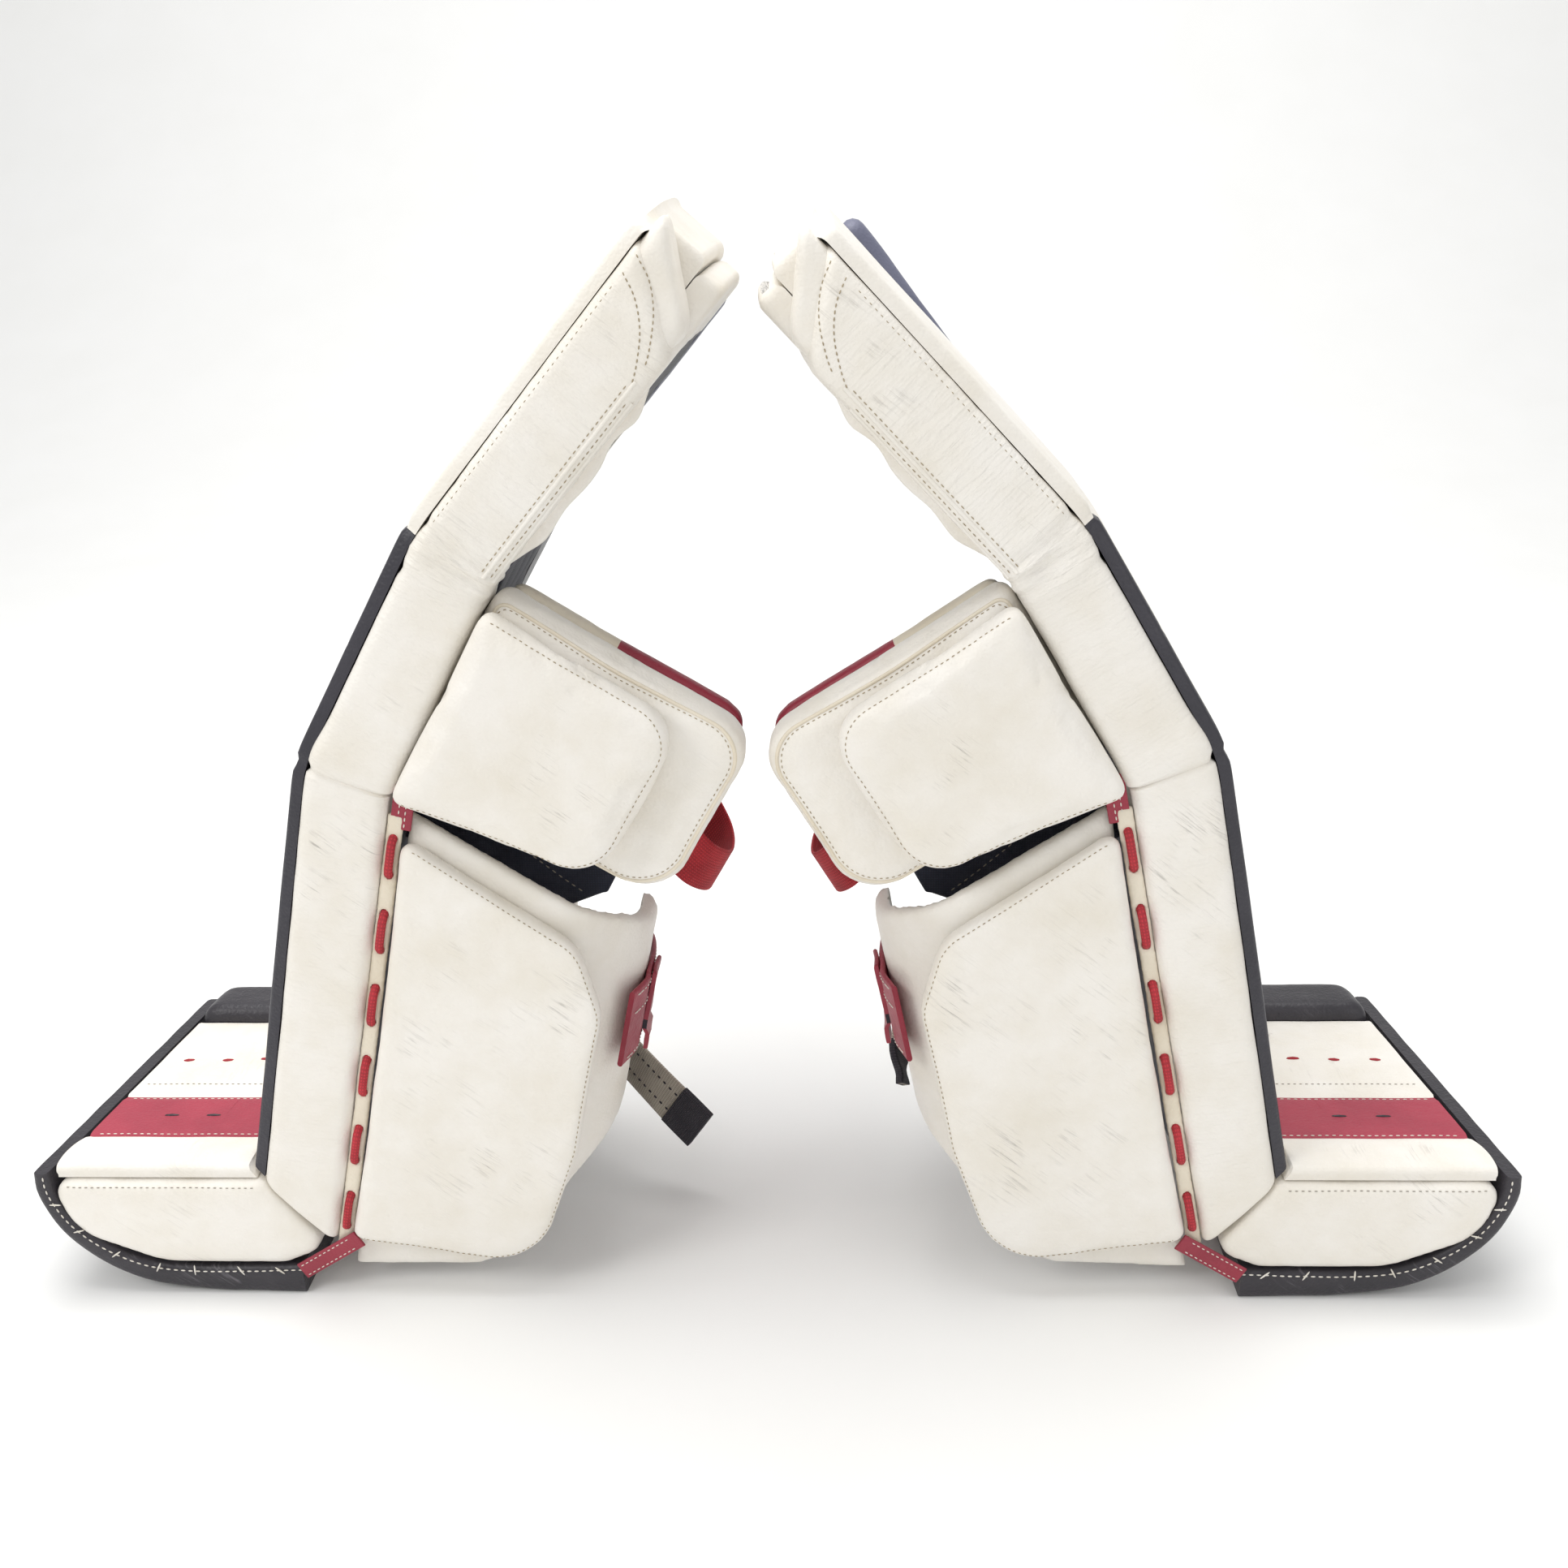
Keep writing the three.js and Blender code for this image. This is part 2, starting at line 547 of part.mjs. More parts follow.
function addThigh(thigh, add, bottom) {
  const rollTop = { z: THIGH_LENGTH, slope: 0.77, across: 0.35 };
  add(thigh, "thigh_edge_roll", bar(edgeRollOutline, bottom, rollTop), WHITE_LEATHER);
  const outerTop = { z: THIGH_LENGTH, slope: 0.2 };
  add(thigh, "thigh_outer_roll", bar(outerRollOutline, bottom, outerTop), NAVY_NYLON);
  const face = thighLayer(FACE_INSET, CORE_Y1, CLEAR, FACE_RISE, bottom, 0);
  const foam = thighLayer(CORE_Y0, CORE_Y1, CORE_BACK + BOARD_THICK + CLEAR, 1, bottom, 0);
  add(thigh, "thigh_core", joined(face, foam), FOAM);
  const board = thighLayer(CORE_Y0 + 8, CORE_Y1 - 8, CORE_BACK, CORE_BACK + BOARD_THICK,
    { z: bottom.z + 10, slope: bottom.slope }, 14);
  add(thigh, "thigh_board", board, PLASTIC);
  const back = CORE_BACK - CLEAR;
  const liner = thighLayer(CORE_Y0, CORE_Y1, back - LINER_THICK, back, bottom, 8, 3);
  add(thigh, "thigh_liner", liner, NAVY_NYLON);
}

// ---- Boot ---------------------------------------------------------------------------------

// The toe slants back towards the outer side of the foot.
const skewed = (geometry) => reshape(geometry, (v) => {
  if (v.x > SKEW_START) v.x -= Math.max(0, v.y) * TOE_SKEW;
});

// The underside of the boot's foam, from heel to toe, grown by spare.
const bootKeel = (spare) => [
  [-8, -BOOT_DEPTH - spare, 14],
  [BOOT_LENGTH * 0.5 + spare, -BOOT_DEPTH - spare, 34 - 10 * spare],
  [BOOT_LENGTH * 0.92 + 1.4 * spare, -BOOT_DEPTH * 0.62 - spare, 30 - 10 * spare],
];

function addBoot(boot, add, bootCutX) {
  const tip = BOOT_LENGTH;
  const side = (top) => outline([
    [bootCutX(top), top],
    [bootCutX(-BOOT_DEPTH * 0.8), -BOOT_DEPTH * 0.8, 12],
    ...bootKeel(0),
    [tip, top, 9],
  ]);
  const edge = prism(side(-CLEAR), OUTLINE_XZ, 0, EDGE_WIDTH, 5);
  add(boot, "boot_edge", skewed(edge), WHITE_LEATHER);
  const body = prism(side(FACE_RISE), OUTLINE_XZ, CORE_Y0, CORE_Y1);
  const face = prism(outline([
    [bootCutX(0), 0],
    [tip - 6, 0],
    [tip - 10, FACE_RISE, 3],
    [bootCutX(FACE_RISE), FACE_RISE],
  ]), OUTLINE_XZ, FACE_INSET, CORE_Y0 + 1);
  add(boot, "boot_core", skewed(joined(body, face)), FOAM);
  const outer = outline([
    [bootCutX(-BOOT_DEPTH * 0.8), -BOOT_DEPTH * 0.8, 12],
    ...bootKeel(0),
    [tip - 1, BOOT_RISE, 16],
    [BOOT_RISE + 14, BOOT_RISE, 10],
    [BOOT_RISE + 2, FACE_RISE, 8],
    [bootCutX(0), 0],
  ]);
  add(boot, "boot_outer_roll", skewed(prism(outer, OUTLINE_XZ, CORE_Y1 + CLEAR, PAD_WIDTH, 6)),
    BLACK_LEATHER);
  add(boot, "boot_sole", bootSole(), BLACK_LEATHER);
}

// The black leather sole and binding: a trough under the boot that comes up over the toe.
function bootSole() {
  const tip = BOOT_LENGTH;
  const low = -BOOT_DEPTH - SOLE_THICK;
  const outside = outline([
    [-26, -BOOT_DEPTH - 2, 4],
    [-18, low + 8, 10],
    [tip * 0.2, low, 24],
    [tip * 0.52, low, 34],
    [tip * 0.94, low * 0.66, 44],
    [tip + TOE_BINDING, -22, 24],
    [tip + TOE_BINDING - 2, FACE_RISE + 1, 5],
    [tip - 8, FACE_RISE + 1],
  ]);
  const whole = prism(outside, OUTLINE_XZ, 0, PAD_WIDTH);
  const room = outline([
    [-60, -BOOT_DEPTH - CLEAR],
    ...bootKeel(CLEAR).slice(1).map(([x, z]) => [x, z]),
    [tip + 2 * CLEAR, -4],
    [tip + 2 * CLEAR, 60],
    [-60, 60],
  ]);
  return skewed(cut(whole, prism(room, OUTLINE_XZ, -1, PAD_WIDTH + 1)));
}

// ---- One pad ------------------------------------------------------------------------------

function pad({ side, mirror, shinLean, kneeBend, thighBend, strapHangs }) {
  const whole = new THREE.Group();
  whole.name = `${side}_pad`;
  const add = (parent, name, geometry, material) => {
    const mesh = new THREE.Mesh(geometry, material);
    mesh.name = `${side}_${name}`;
    parent.add(mesh);
  };
  const ankle = ankleBreak(shinLean);
  const kneeBreak = flexBreak(kneeBend);
  const thighBreak = flexBreak(thighBend);
  const atEnd = (length, end) => ({ z: length + end.z, slope: end.slope });

  const shin = frame(whole, `${side}_shin`, 0, 0, 0, shinLean);
  addShin(shin, add, ankle.shinCut, atEnd(SHIN_LENGTH, kneeBreak.below));
  const calfFlap = frame(shin, `${side}_calf_flap`, -CALF_FRONT, -PLATE_PROUD, 0, 0);
  addCalfFlap(calfFlap, add);
  const calfWing = frame(shin, `${side}_calf_wing`, -EDGE_THICK - FLAP_GAP, PAD_WIDTH, 0, 0);
  addCalfWing(calfWing, add, strapHangs);

  const knee = frame(shin, `${side}_knee`, 0, 0, SHIN_LENGTH, kneeBend);
  addKnee(knee, add, kneeBreak.above, atEnd(KNEE_LENGTH, thighBreak.below));
  const flapX = -EDGE_THICK - FLAP_GAP;
  const kneeFlap = frame(knee, `${side}_knee_flap`, flapX, -LANDING_PROUD, 0, 0);
  addKneeFlap(kneeFlap, add);
  const kneeWing = frame(knee, `${side}_knee_wing`, flapX, PAD_WIDTH, 0, 0);
  addKneeWing(kneeWing, add);

  const thigh = frame(knee, `${side}_thigh`, 0, 0, KNEE_LENGTH, thighBend);
  addThigh(thigh, add, thighBreak.above);

  addBoot(frame(whole, `${side}_boot`, 0, 0, 0, 0), add, ankle.bootCutX);

  // Stand the pad on the floor, with its knee block at the middle of the pair.
  const room = new THREE.Box3().setFromObject(whole, true);
  whole.position.set(PAIR_GAP / 2 - room.min.x, 0, -room.min.z);
  const placed = new THREE.Group();
  placed.scale.x = mirror;
  placed.add(whole);
  return placed;
}

const pair = new THREE.Group();
for (const one of PADS) pair.add(pad(one));
const room = new THREE.Box3().setFromObject(pair, true);
pair.position.set(-(room.min.x + room.max.x) / 2, -(room.min.y + room.max.y) / 2, 0);

export default pair;
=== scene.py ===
# %% [markdown]
# # A pair of goalkeeper's leg pads
# Ice hockey goalkeepers wear a tall padded shield on each leg. Here the pair stands on its boots
# with the toes turned out and the knee blocks touching. The CAD model gives every part's size
# and place, and this lesson dresses it in leather, nylon, lace and thread.

# %% Load the frame
import json
import math

import bmesh
import bpy
from mathutils import Matrix, Vector, noise
from mathutils.bvhtree import BVHTree


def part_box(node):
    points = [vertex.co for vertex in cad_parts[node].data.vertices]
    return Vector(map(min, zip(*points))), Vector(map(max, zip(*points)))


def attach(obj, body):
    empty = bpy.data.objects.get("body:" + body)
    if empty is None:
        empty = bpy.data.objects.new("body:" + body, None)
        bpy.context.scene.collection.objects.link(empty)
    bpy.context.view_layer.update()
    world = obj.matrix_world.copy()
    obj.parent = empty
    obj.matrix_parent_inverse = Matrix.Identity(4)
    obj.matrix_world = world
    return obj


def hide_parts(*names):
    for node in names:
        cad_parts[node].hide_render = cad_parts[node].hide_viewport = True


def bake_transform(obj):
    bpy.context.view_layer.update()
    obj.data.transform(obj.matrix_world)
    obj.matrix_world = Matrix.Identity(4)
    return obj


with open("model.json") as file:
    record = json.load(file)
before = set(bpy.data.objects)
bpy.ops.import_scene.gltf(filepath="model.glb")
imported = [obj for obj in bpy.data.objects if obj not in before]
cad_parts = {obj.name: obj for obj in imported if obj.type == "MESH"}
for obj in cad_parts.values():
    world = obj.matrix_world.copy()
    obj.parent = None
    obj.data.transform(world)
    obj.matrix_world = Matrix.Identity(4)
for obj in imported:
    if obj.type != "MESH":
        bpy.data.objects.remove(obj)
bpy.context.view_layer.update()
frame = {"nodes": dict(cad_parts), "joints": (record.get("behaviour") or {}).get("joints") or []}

# %% [markdown]
# ## Measures
# The pad is a chain of sections: boot, shin, knee and thigh. These lengths are the ones that the
# CAD model is driven by, in millimetres, so each new piece lands on the solid it dresses.

# %% Lengths along the pad, and its cross-section
SHIN, KNEE, THIGH = 328, 180, 230
KNEE_AT, THIGH_AT = SHIN, SHIN + KNEE
TOP = SHIN + KNEE + THIGH
MIDDLE = SHIN + KNEE / 2  # the long skins are parted here, half way up the knee
WIDTH, EDGE, DEPTH = 279, 46, 58
OUTER, OUTER_RISE, BOOT_RISE, FACE_RISE = 48, 11, 22, 9
MM = 0.001
print("height along the pad", TOP, "mm")

# %% [markdown]
# ## Where each pad stands
# A pad is easiest to draw straight: x forward, y from the inner to the outer side, and height up
# along the pad. A goalkeeper's pad leans back a little more at each flex break, so one function
# bends a straight point into place, and another keeps a section rigid for the flaps hung on it.

# %% The pad's own space
BEND = 20  # a break's curve reaches this far above and below it
ANKLE_REACH = 14  # from the corner of shin and boot to the ankle's hinge
LINE_LENGTH = 900  # the curved line is drawn past the top of the pad


def smooth(t):
    t = min(1.0, max(0.0, t))
    return t * t * (3 - 2 * t)


class Pad:
    """One leg's pad. turn says which way its toe points, and leans are how far its shin, knee
    and thigh lean back, in degrees."""

    def __init__(self, side, turn, leans, strap_hangs):
        self.side, self.turn, self.strap_hangs = side, turn, strap_hangs
        self.sewing = {}  # rows of stitches, by the name of the piece that they will make
        self.leans = [math.radians(a) for a in leans]
        name = side + "_ankle_break"
        hinge = next(j for j in frame["joints"] if j["name"] == name)["pos_m"]
        half = math.radians(45 + leans[0] / 2)
        self.x0 = turn * hinge[0] / MM - ANKLE_REACH * math.cos(half)
        self.z0 = hinge[2] / MM - ANKLE_REACH * math.sin(half)
        self.y0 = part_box(side + "_boot_edge")[0].y / MM
        self.line = [(0.0, 0.0)]  # the front of the edge roll, a point for each millimetre
        for s in range(LINE_LENGTH):
            a = self.lean(s + 0.5)
            u, w = self.line[-1]
            self.line.append((u - math.sin(a), w + math.cos(a)))

    def lean(self, s):
        """The lean at the height s, which turns smoothly at the two upper breaks."""
        a, b, c = self.leans
        first = smooth((s - KNEE_AT + BEND) / (2 * BEND))
        second = smooth((s - THIGH_AT + BEND) / (2 * BEND))
        return a + (b - a) * first + (c - b) * second

    def out(self, u, y, w):
        """The place, in metres, of a point forward, across and up from the ankle."""
        return Vector((self.turn * (self.x0 + u), self.y0 + y, self.z0 + w)) * MM

    def bent(self, x, y, s):
        """The place of a point of the straight pad once the pad is bent."""
        a = self.lean(s)
        i = int(min(LINE_LENGTH - 1, max(0, s)))
        u, w = self.line[i]
        rest = s - i
        return self.out(u + x * math.cos(a) - rest * math.sin(a), y,
                        w + x * math.sin(a) + rest * math.cos(a))

    def rigid(self, section):
        """The map of a section's own straight space, with its height from its lower end."""
        a, b, c = self.leans
        knee = (-SHIN * math.sin(a), SHIN * math.cos(a))
        thigh = (knee[0] - KNEE * math.sin(b), knee[1] + KNEE * math.cos(b))
        lean, (u, w) = {"boot": (0, (0, 0)), "shin": (a, (0, 0)), "knee": (b, knee),
                        "thigh": (c, thigh)}[section]
        return lambda x, y, z: self.out(u + x * math.cos(lean) - z * math.sin(lean), y,
                                        w + x * math.sin(lean) + z * math.cos(lean))


PADS = [Pad("right", -1, (12.2, 30.1, 40.9), False), Pad("left", 1, (11.3, 30.8, 43.1), True)]
for pad in PADS:
    print(pad.side, "ankle at", [round(c, 4) for c in pad.bent(0, 0, 0)])

# %% [markdown]
# ## Camera
# The camera stands a little over a metre in front and looks down a little, so that the inner sides
# of both pads and the tops of both boots show.

# %% The camera, from where it stands and where it looks
def look(place, pitch, yaw, roll):
    """A camera turned down by pitch and left by yaw, in degrees, and rolled about its view."""
    p, y, r = (math.radians(a) for a in (pitch, yaw, roll))
    ahead = Vector((-math.sin(y) * math.cos(p), math.cos(y) * math.cos(p), -math.sin(p)))
    right = Vector((math.cos(y), math.sin(y), 0))
    up = right.cross(ahead)
    right, up = (right * math.cos(r) + up * math.sin(r), up * math.cos(r) - right * math.sin(r))
    turn = Matrix((right, up, -ahead)).transposed().to_4x4()
    return Matrix.Translation(place) @ turn


camera = bpy.data.objects.new("camera", bpy.data.cameras.new("camera"))
camera.data.sensor_width = 36
camera.data.lens = 36.91
camera.matrix_world = look(Vector((0.0653, -1.1271, 0.766)), 19.88, 2.53, -1.3)
scene = bpy.context.scene
scene.collection.objects.link(camera)
scene.camera = camera
print("camera", [round(c, 3) for c in camera.location])

# %% [markdown]
# ## Mesh helpers
# Most of the pad is one idea repeated: an outline with rounded corners, drawn out into a bar,
# with its ends rounded over like the end of a stuffed tube. Spin with no angle does the drawing
# out, one ring after another.

# %% Outlines and bars
def rounded(corners, step=4.0):
    """Points about step mm apart on the outline through corners, each (u, v, radius)."""
    pieces = []
    n = len(corners)
    for i, (u, v, *rest) in enumerate(corners):
        at = Vector((u, v))
        before = Vector(corners[i - 1][:2]) - at
        after = Vector(corners[(i + 1) % n][:2]) - at
        half = before.angle(after) / 2
        radius = rest[0] if rest else 0
        tangent = min(radius / math.tan(half), 0.48 * min(before.length, after.length))
        if tangent < 0.1:
            pieces.append([at])
            continue
        r = tangent * math.tan(half)
        start, end = at + before.normalized() * tangent, at + after.normalized() * tangent
        centre = at + (before.normalized() + after.normalized()).normalized() * (
            tangent / math.cos(half))
        count = max(2, math.ceil(r * (math.pi - 2 * half) / step) + 1)
        a, b = start - centre, end - centre
        turn = a.angle_signed(b)
        arc = [centre + Matrix.Rotation(-turn * k / count, 2) @ a for k in range(count + 1)]
        pieces.append(arc)
    points = []
    for i, piece in enumerate(pieces):
        points += piece
        gap = pieces[(i + 1) % n][0] - piece[-1]
        count = max(1, round(gap.length / step))
        points += [piece[-1] + gap * (k / count) for k in range(1, count)]
    return [tuple(p) for p in points]


def rod(outline, count):
    """A closed rod of the outline in x and y, with count steps of one unit up z."""
    bm = bmesh.new()
    ring = [bm.verts.new((u, v, 0)) for u, v in outline]
    edges = [bm.edges.new((a, b)) for a, b in zip(ring, ring[1:] + ring[:1])]
    bmesh.ops.spin(bm, geom=ring + edges, cent=(0, 0, 0), axis=(0, 0, 1), dvec=(0, 0, 1),
                   angle=0, steps=count, use_duplicate=False)
    bmesh.ops.holes_fill(bm, edges=[e for e in bm.edges if e.is_boundary], sides=0)
    bmesh.ops.recalc_face_normals(bm, faces=bm.faces[:])
    return bm


def bar(outline, low, high, step=3.0, low_round=0, high_round=0):
    """A bar from low to high whose ends are rounded over by so many millimetres."""
    quarter = [math.radians(a) for a in (0, 25, 48, 70)]
    stations = [(low + low_round * (1 - math.cos(a)), low_round * (1 - math.sin(a)))
                for a in quarter if low_round]
    first, last = low + low_round, high - high_round
    count = max(1, round((last - first) / step))
    stations += [(first + (last - first) * k / count, 0) for k in range(count + 1)]
    stations += [(high - high_round * (1 - math.cos(a)), high_round * (1 - math.sin(a)))
                 for a in reversed(quarter) if high_round]
    us, vs = [u for u, v in outline], [v for u, v in outline]
    cu, cv = (min(us) + max(us)) / 2, (min(vs) + max(vs)) / 2
    hu, hv = (max(us) - min(us)) / 2, (max(vs) - min(vs)) / 2
    bm = rod(outline, len(stations) - 1)
    for v in bm.verts:
        at, inset = stations[round(v.co.z)]
        v.co = (cu + (v.co.x - cu) * (1 - inset / hu), cv + (v.co.y - cv) * (1 - inset / hv), at)
    return bm


print("outline points", len(rounded([(0, 0, 9), (0, 46), (-58, 46, 4), (-58, 0, 9)])))

# %% [markdown]
# Stuffed leather is never flat. Voxel remeshing gives a cushion an even skin that can be pressed
# and pushed anywhere, and small pushes along the normals, driven by noise that never changes
# from run to run, put in the slack, the puckers and the creases.

# %% Soft skins
def remeshed(bm, voxel, soften=3):
    mesh = bpy.data.meshes.new("draft")
    bm.to_mesh(mesh)
    bm.free()
    draft = bpy.data.objects.new("draft", mesh)
    scene.collection.objects.link(draft)
    modifier = draft.modifiers.new("Remesh", "REMESH")
    modifier.mode = "VOXEL"
    modifier.voxel_size = voxel
    skin = bmesh.new()
    skin.from_object(draft, bpy.context.evaluated_depsgraph_get())
    bpy.data.objects.remove(draft)
    bpy.data.meshes.remove(mesh)
    for _ in range(soften):
        bmesh.ops.smooth_vert(skin, verts=skin.verts[:], factor=0.5, use_axis_x=True,
                              use_axis_y=True, use_axis_z=True)
    return skin


def push(bm, depth):
    """Moves each vertex along its normal by depth(x, y, z)."""
    bm.normal_update()
    moves = [v.normal * depth(*v.co) for v in bm.verts]
    for v, move in zip(bm.verts, moves):
        v.co += move


def ripple(x, y, z, size, stretch=(1, 1, 1)):
    """Smooth noise between -1 and 1 with bumps about size mm apart."""
    return noise.noise(Vector((x * stretch[0], y * stretch[1], z * stretch[2])) / size)


def hump(x, centre, width):
    return math.exp(-(((x - centre) / width) ** 2))


def cushion(corners, near, far, edge=7, voxel=3.5, crown=2.0, pull=1.5):
    """A stuffed pad on an outline in x and z, between two places across the pad."""
    bm = bar(rounded(corners, 5), near, far, 6, edge, edge)
    bmesh.ops.rotate(bm, verts=bm.verts[:], cent=(0, 0, 0), matrix=Matrix.Rotation(
        math.radians(90), 3, "X"))
    for v in bm.verts:
        v.co.y *= -1
    bmesh.ops.recalc_face_normals(bm, faces=bm.faces[:])
    bm = remeshed(bm, voxel)
    xs, zs = [c[0] for c in corners], [c[1] for c in corners]
    cx, cz = (min(xs) + max(xs)) / 2, (min(zs) + max(zs)) / 2
    hx, hz = (max(xs) - min(xs)) / 2, (max(zs) - min(zs)) / 2
    middle = (near + far) / 2
    for v in bm.verts:
        a, b = (v.co.x - cx) / hx, (v.co.z - cz) / hz
        fullness = max(0, 1 - a ** 4) * max(0, 1 - b ** 4)
        v.co.y += crown * fullness * (1 if v.co.y > middle else -1)
        v.co.x -= pull * a * max(0, 1 - b * b)
        v.co.z -= pull * b * max(0, 1 - a * a)
    push(bm, lambda x, y, z: 0.5 * ripple(x, y, z, 38) + 0.18 * ripple(x, y, z, 11))
    return bm


def softened(node, voxel=3.5, soften=4):
    """A merged, remeshed copy of a CAD solid, in metres, for a skin to follow."""
    bm = bmesh.new()
    bm.from_mesh(frame["nodes"][node].data)
    bmesh.ops.scale(bm, vec=(1 / MM,) * 3, verts=bm.verts[:])
    bmesh.ops.remove_doubles(bm, verts=bm.verts[:], dist=0.01)
    bm = remeshed(bm, voxel, soften)
    push(bm, lambda x, y, z: 0.5 * ripple(x, y, z, 30) + 0.2 * ripple(x, y, z, 9))
    bmesh.ops.scale(bm, vec=(MM,) * 3, verts=bm.verts[:])
    return bm


# %% [markdown]
# Cords, piping and straps are swept: a small outline is carried along a smooth line. A strap
# also carries a UV map in metres, so that its weave runs along it however it bends.

# %% Lines, tubes, ribbons and stitches
def curve(points, step=4.0):
    """A smooth line through the points, with points about step apart."""
    points = [Vector(p) for p in points]
    whole = [points[0] * 2 - points[1]] + points + [points[-1] * 2 - points[-2]]
    out = []
    for a, b, c, d in zip(whole, whole[1:], whole[2:], whole[3:]):
        count = max(1, round((c - b).length / step))
        for k in range(count):
            t = k / count
            out.append(0.5 * (2 * b + (c - a) * t + (2 * a - 5 * b + 4 * c - d) * t * t
                              + (3 * b - a - 3 * c + d) * t ** 3))
    return out + [points[-1]]


def lengths(points):
    run = [0.0]
    for a, b in zip(points, points[1:]):
        run.append(run[-1] + (b - a).length)
    return run


def sweep(outline, line, upright=None, thick=lambda t: 1.0):
    """A rod of the outline along a line, with a UV map across and along it. Where upright is
    given, the outline's second axis keeps as near to it as it can. thick(t) scales its first
    axis, with t from 0 to 1 along the line."""
    bm = rod(outline, len(line) - 1)
    uv = bm.loops.layers.uv.new("UVMap")
    run = lengths(line)
    around = {}
    total = 0.0
    for p, q in zip(outline, outline[1:] + outline[:1]):
        around[(round(p[0], 3), round(p[1], 3))] = total
        total += math.hypot(q[0] - p[0], q[1] - p[1])
    for face in bm.faces:
        across = [around[(round(l.vert.co.x, 3), round(l.vert.co.y, 3))] for l in face.loops]
        if upright is None and max(across) - min(across) > total / 2:
            across = [a + total if a < total / 2 else a for a in across]
        for loop, a in zip(face.loops, across):
            side = loop.vert.co.y if upright is not None else a
            loop[uv].uv = (side * MM, run[round(loop.vert.co.z)] * MM)
    frames = []
    aside = Vector(upright) if upright is not None else Vector((0.31, 0.2, 0.93))
    for i, at in enumerate(line):
        along = (line[min(i + 1, len(line) - 1)] - line[max(i - 1, 0)]).normalized()
        up = (aside - along * aside.dot(along)).normalized()
        frames.append((at, along.cross(up), up))
        if upright is None:
            aside = up
    for v in bm.verts:
        at, side, up = frames[round(v.co.z)]
        v.co = at + side * (v.co.x * thick(round(v.co.z) / (len(line) - 1))) + up * v.co.y
    bmesh.ops.recalc_face_normals(bm, faces=bm.faces[:])
    return bm


def circle(radius, sides=10):
    return [(radius * math.cos(2 * math.pi * k / sides), radius * math.sin(2 * math.pi * k / sides))
            for k in range(sides)]


def draped(bm, line, towards, lift=0.3):
    """The line moved onto the skin that lies towards that side of it."""
    tree = BVHTree.FromBMesh(bm)
    towards = Vector(towards).normalized()
    found = []
    for p in line:
        hit = tree.ray_cast(Vector(p) - towards * 60, towards)[0]
        if hit is not None:
            found.append(hit - towards * lift)
    return found


def stitched(bm, line, length=3.4, gap=2.0, thick=0.5):
    """Adds a row of stitches along a line of points in metres to bm."""
    run = lengths(line)
    at = 0.0
    i = 0
    while at + length * MM < run[-1]:
        while run[i + 1] < at + length * MM / 2:
            i += 1
        a, b = line[i], line[i + 1]
        middle = a.lerp(b, (at + length * MM / 2 - run[i]) / max(1e-9, run[i + 1] - run[i]))
        turn = (b - a).to_track_quat("Z", "Y").to_matrix().to_4x4()
        size = Matrix.Diagonal((thick * MM, thick * MM, length * MM / 2, 1))
        bmesh.ops.create_uvsphere(bm, u_segments=6, v_segments=4, radius=1,
                                  matrix=Matrix.Translation(middle) @ turn @ size)
        at += (length + gap) * MM
    return bm


def sew(pad, group, skin, line, towards, place, length=3.4, gap=2.0, thick=0.5, lift=0.2):
    """Sews a row along a line of points, laid on the skin, into one of the pad's groups."""
    row = [place(*p) for p in draped(skin, line, towards, lift)]
    if len(row) > 1:
        stitched(pad.sewing.setdefault(group, bmesh.new()), row, length, gap, thick)


def inside(corners, depth, step=4.0):
    """The rounded outline through corners, moved in towards its middle, and closed."""
    points = [Vector(p) for p in rounded(corners, step)]
    middle = sum(points, Vector((0, 0))) / len(points)
    points = [p + (middle - p).normalized() * depth for p in points]
    return points + points[:1]


# %% [markdown]
# Every piece is finished the same way: its points go from the pad's straight space to where the
# pad stands, it gets its materials, and it rides on a body of the CAD model. A long skin that
# crosses a flex break rides on no body instead, and stays where it stands.

# %% Finishing a piece
def finish(bm, pad, name, materials, place=None, body=None, blend=None, stands_for=(),
           paint=None, wear=(), folds=(), sharp=50):
    """Makes the piece SIDE_name. place maps its points, paint(x, y, z) picks a material, and
    wear and folds list scuffed and wrinkled places, each (x, y, z, reach, amount). The
    straight attribute keeps each point's place before the pad is bent."""
    if paint:
        for face in bm.faces:
            face.material_index = paint(*face.calc_center_median())
    for label, spots in (("wear", wear), ("folds", folds)):
        layer = bm.verts.layers.float.new(label)
        for v in bm.verts if spots else ():
            v[layer] = min(1, sum(amount * hump((v.co - Vector((x, y, z))).length, 0, reach)
                                  for x, y, z, reach, amount in spots))
    layer = bm.verts.layers.float_vector.new("straight")
    for v in bm.verts:
        v[layer] = v.co * MM if place else v.co
    if place:
        for v in bm.verts:
            v.co = place(*v.co)
        if pad.turn < 0:
            bmesh.ops.reverse_faces(bm, faces=bm.faces[:])
    mesh = bpy.data.meshes.new(f"{pad.side}_{name}")
    bm.to_mesh(mesh)
    bm.free()
    mesh.shade_smooth()
    mesh.set_sharp_from_angle(angle=math.radians(sharp))
    for material in materials:
        mesh.materials.append(material)
    piece = bpy.data.objects.new(f"{pad.side}_{name}", mesh)
    scene.collection.objects.link(piece)
    if blend:
        lower, upper, at = blend
        pad.bent(0, WIDTH / 2, at - BEND)
        pad.bent(0, WIDTH / 2, at + BEND)
        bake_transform(piece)
    else:
        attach(piece, f"{pad.side}_{body}")
    if stands_for:
        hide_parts(*[f"{pad.side}_{node}" for node in stands_for])
    return piece


LOWER = ("shin", "knee", KNEE_AT)
UPPER = ("knee", "thigh", THIGH_AT)

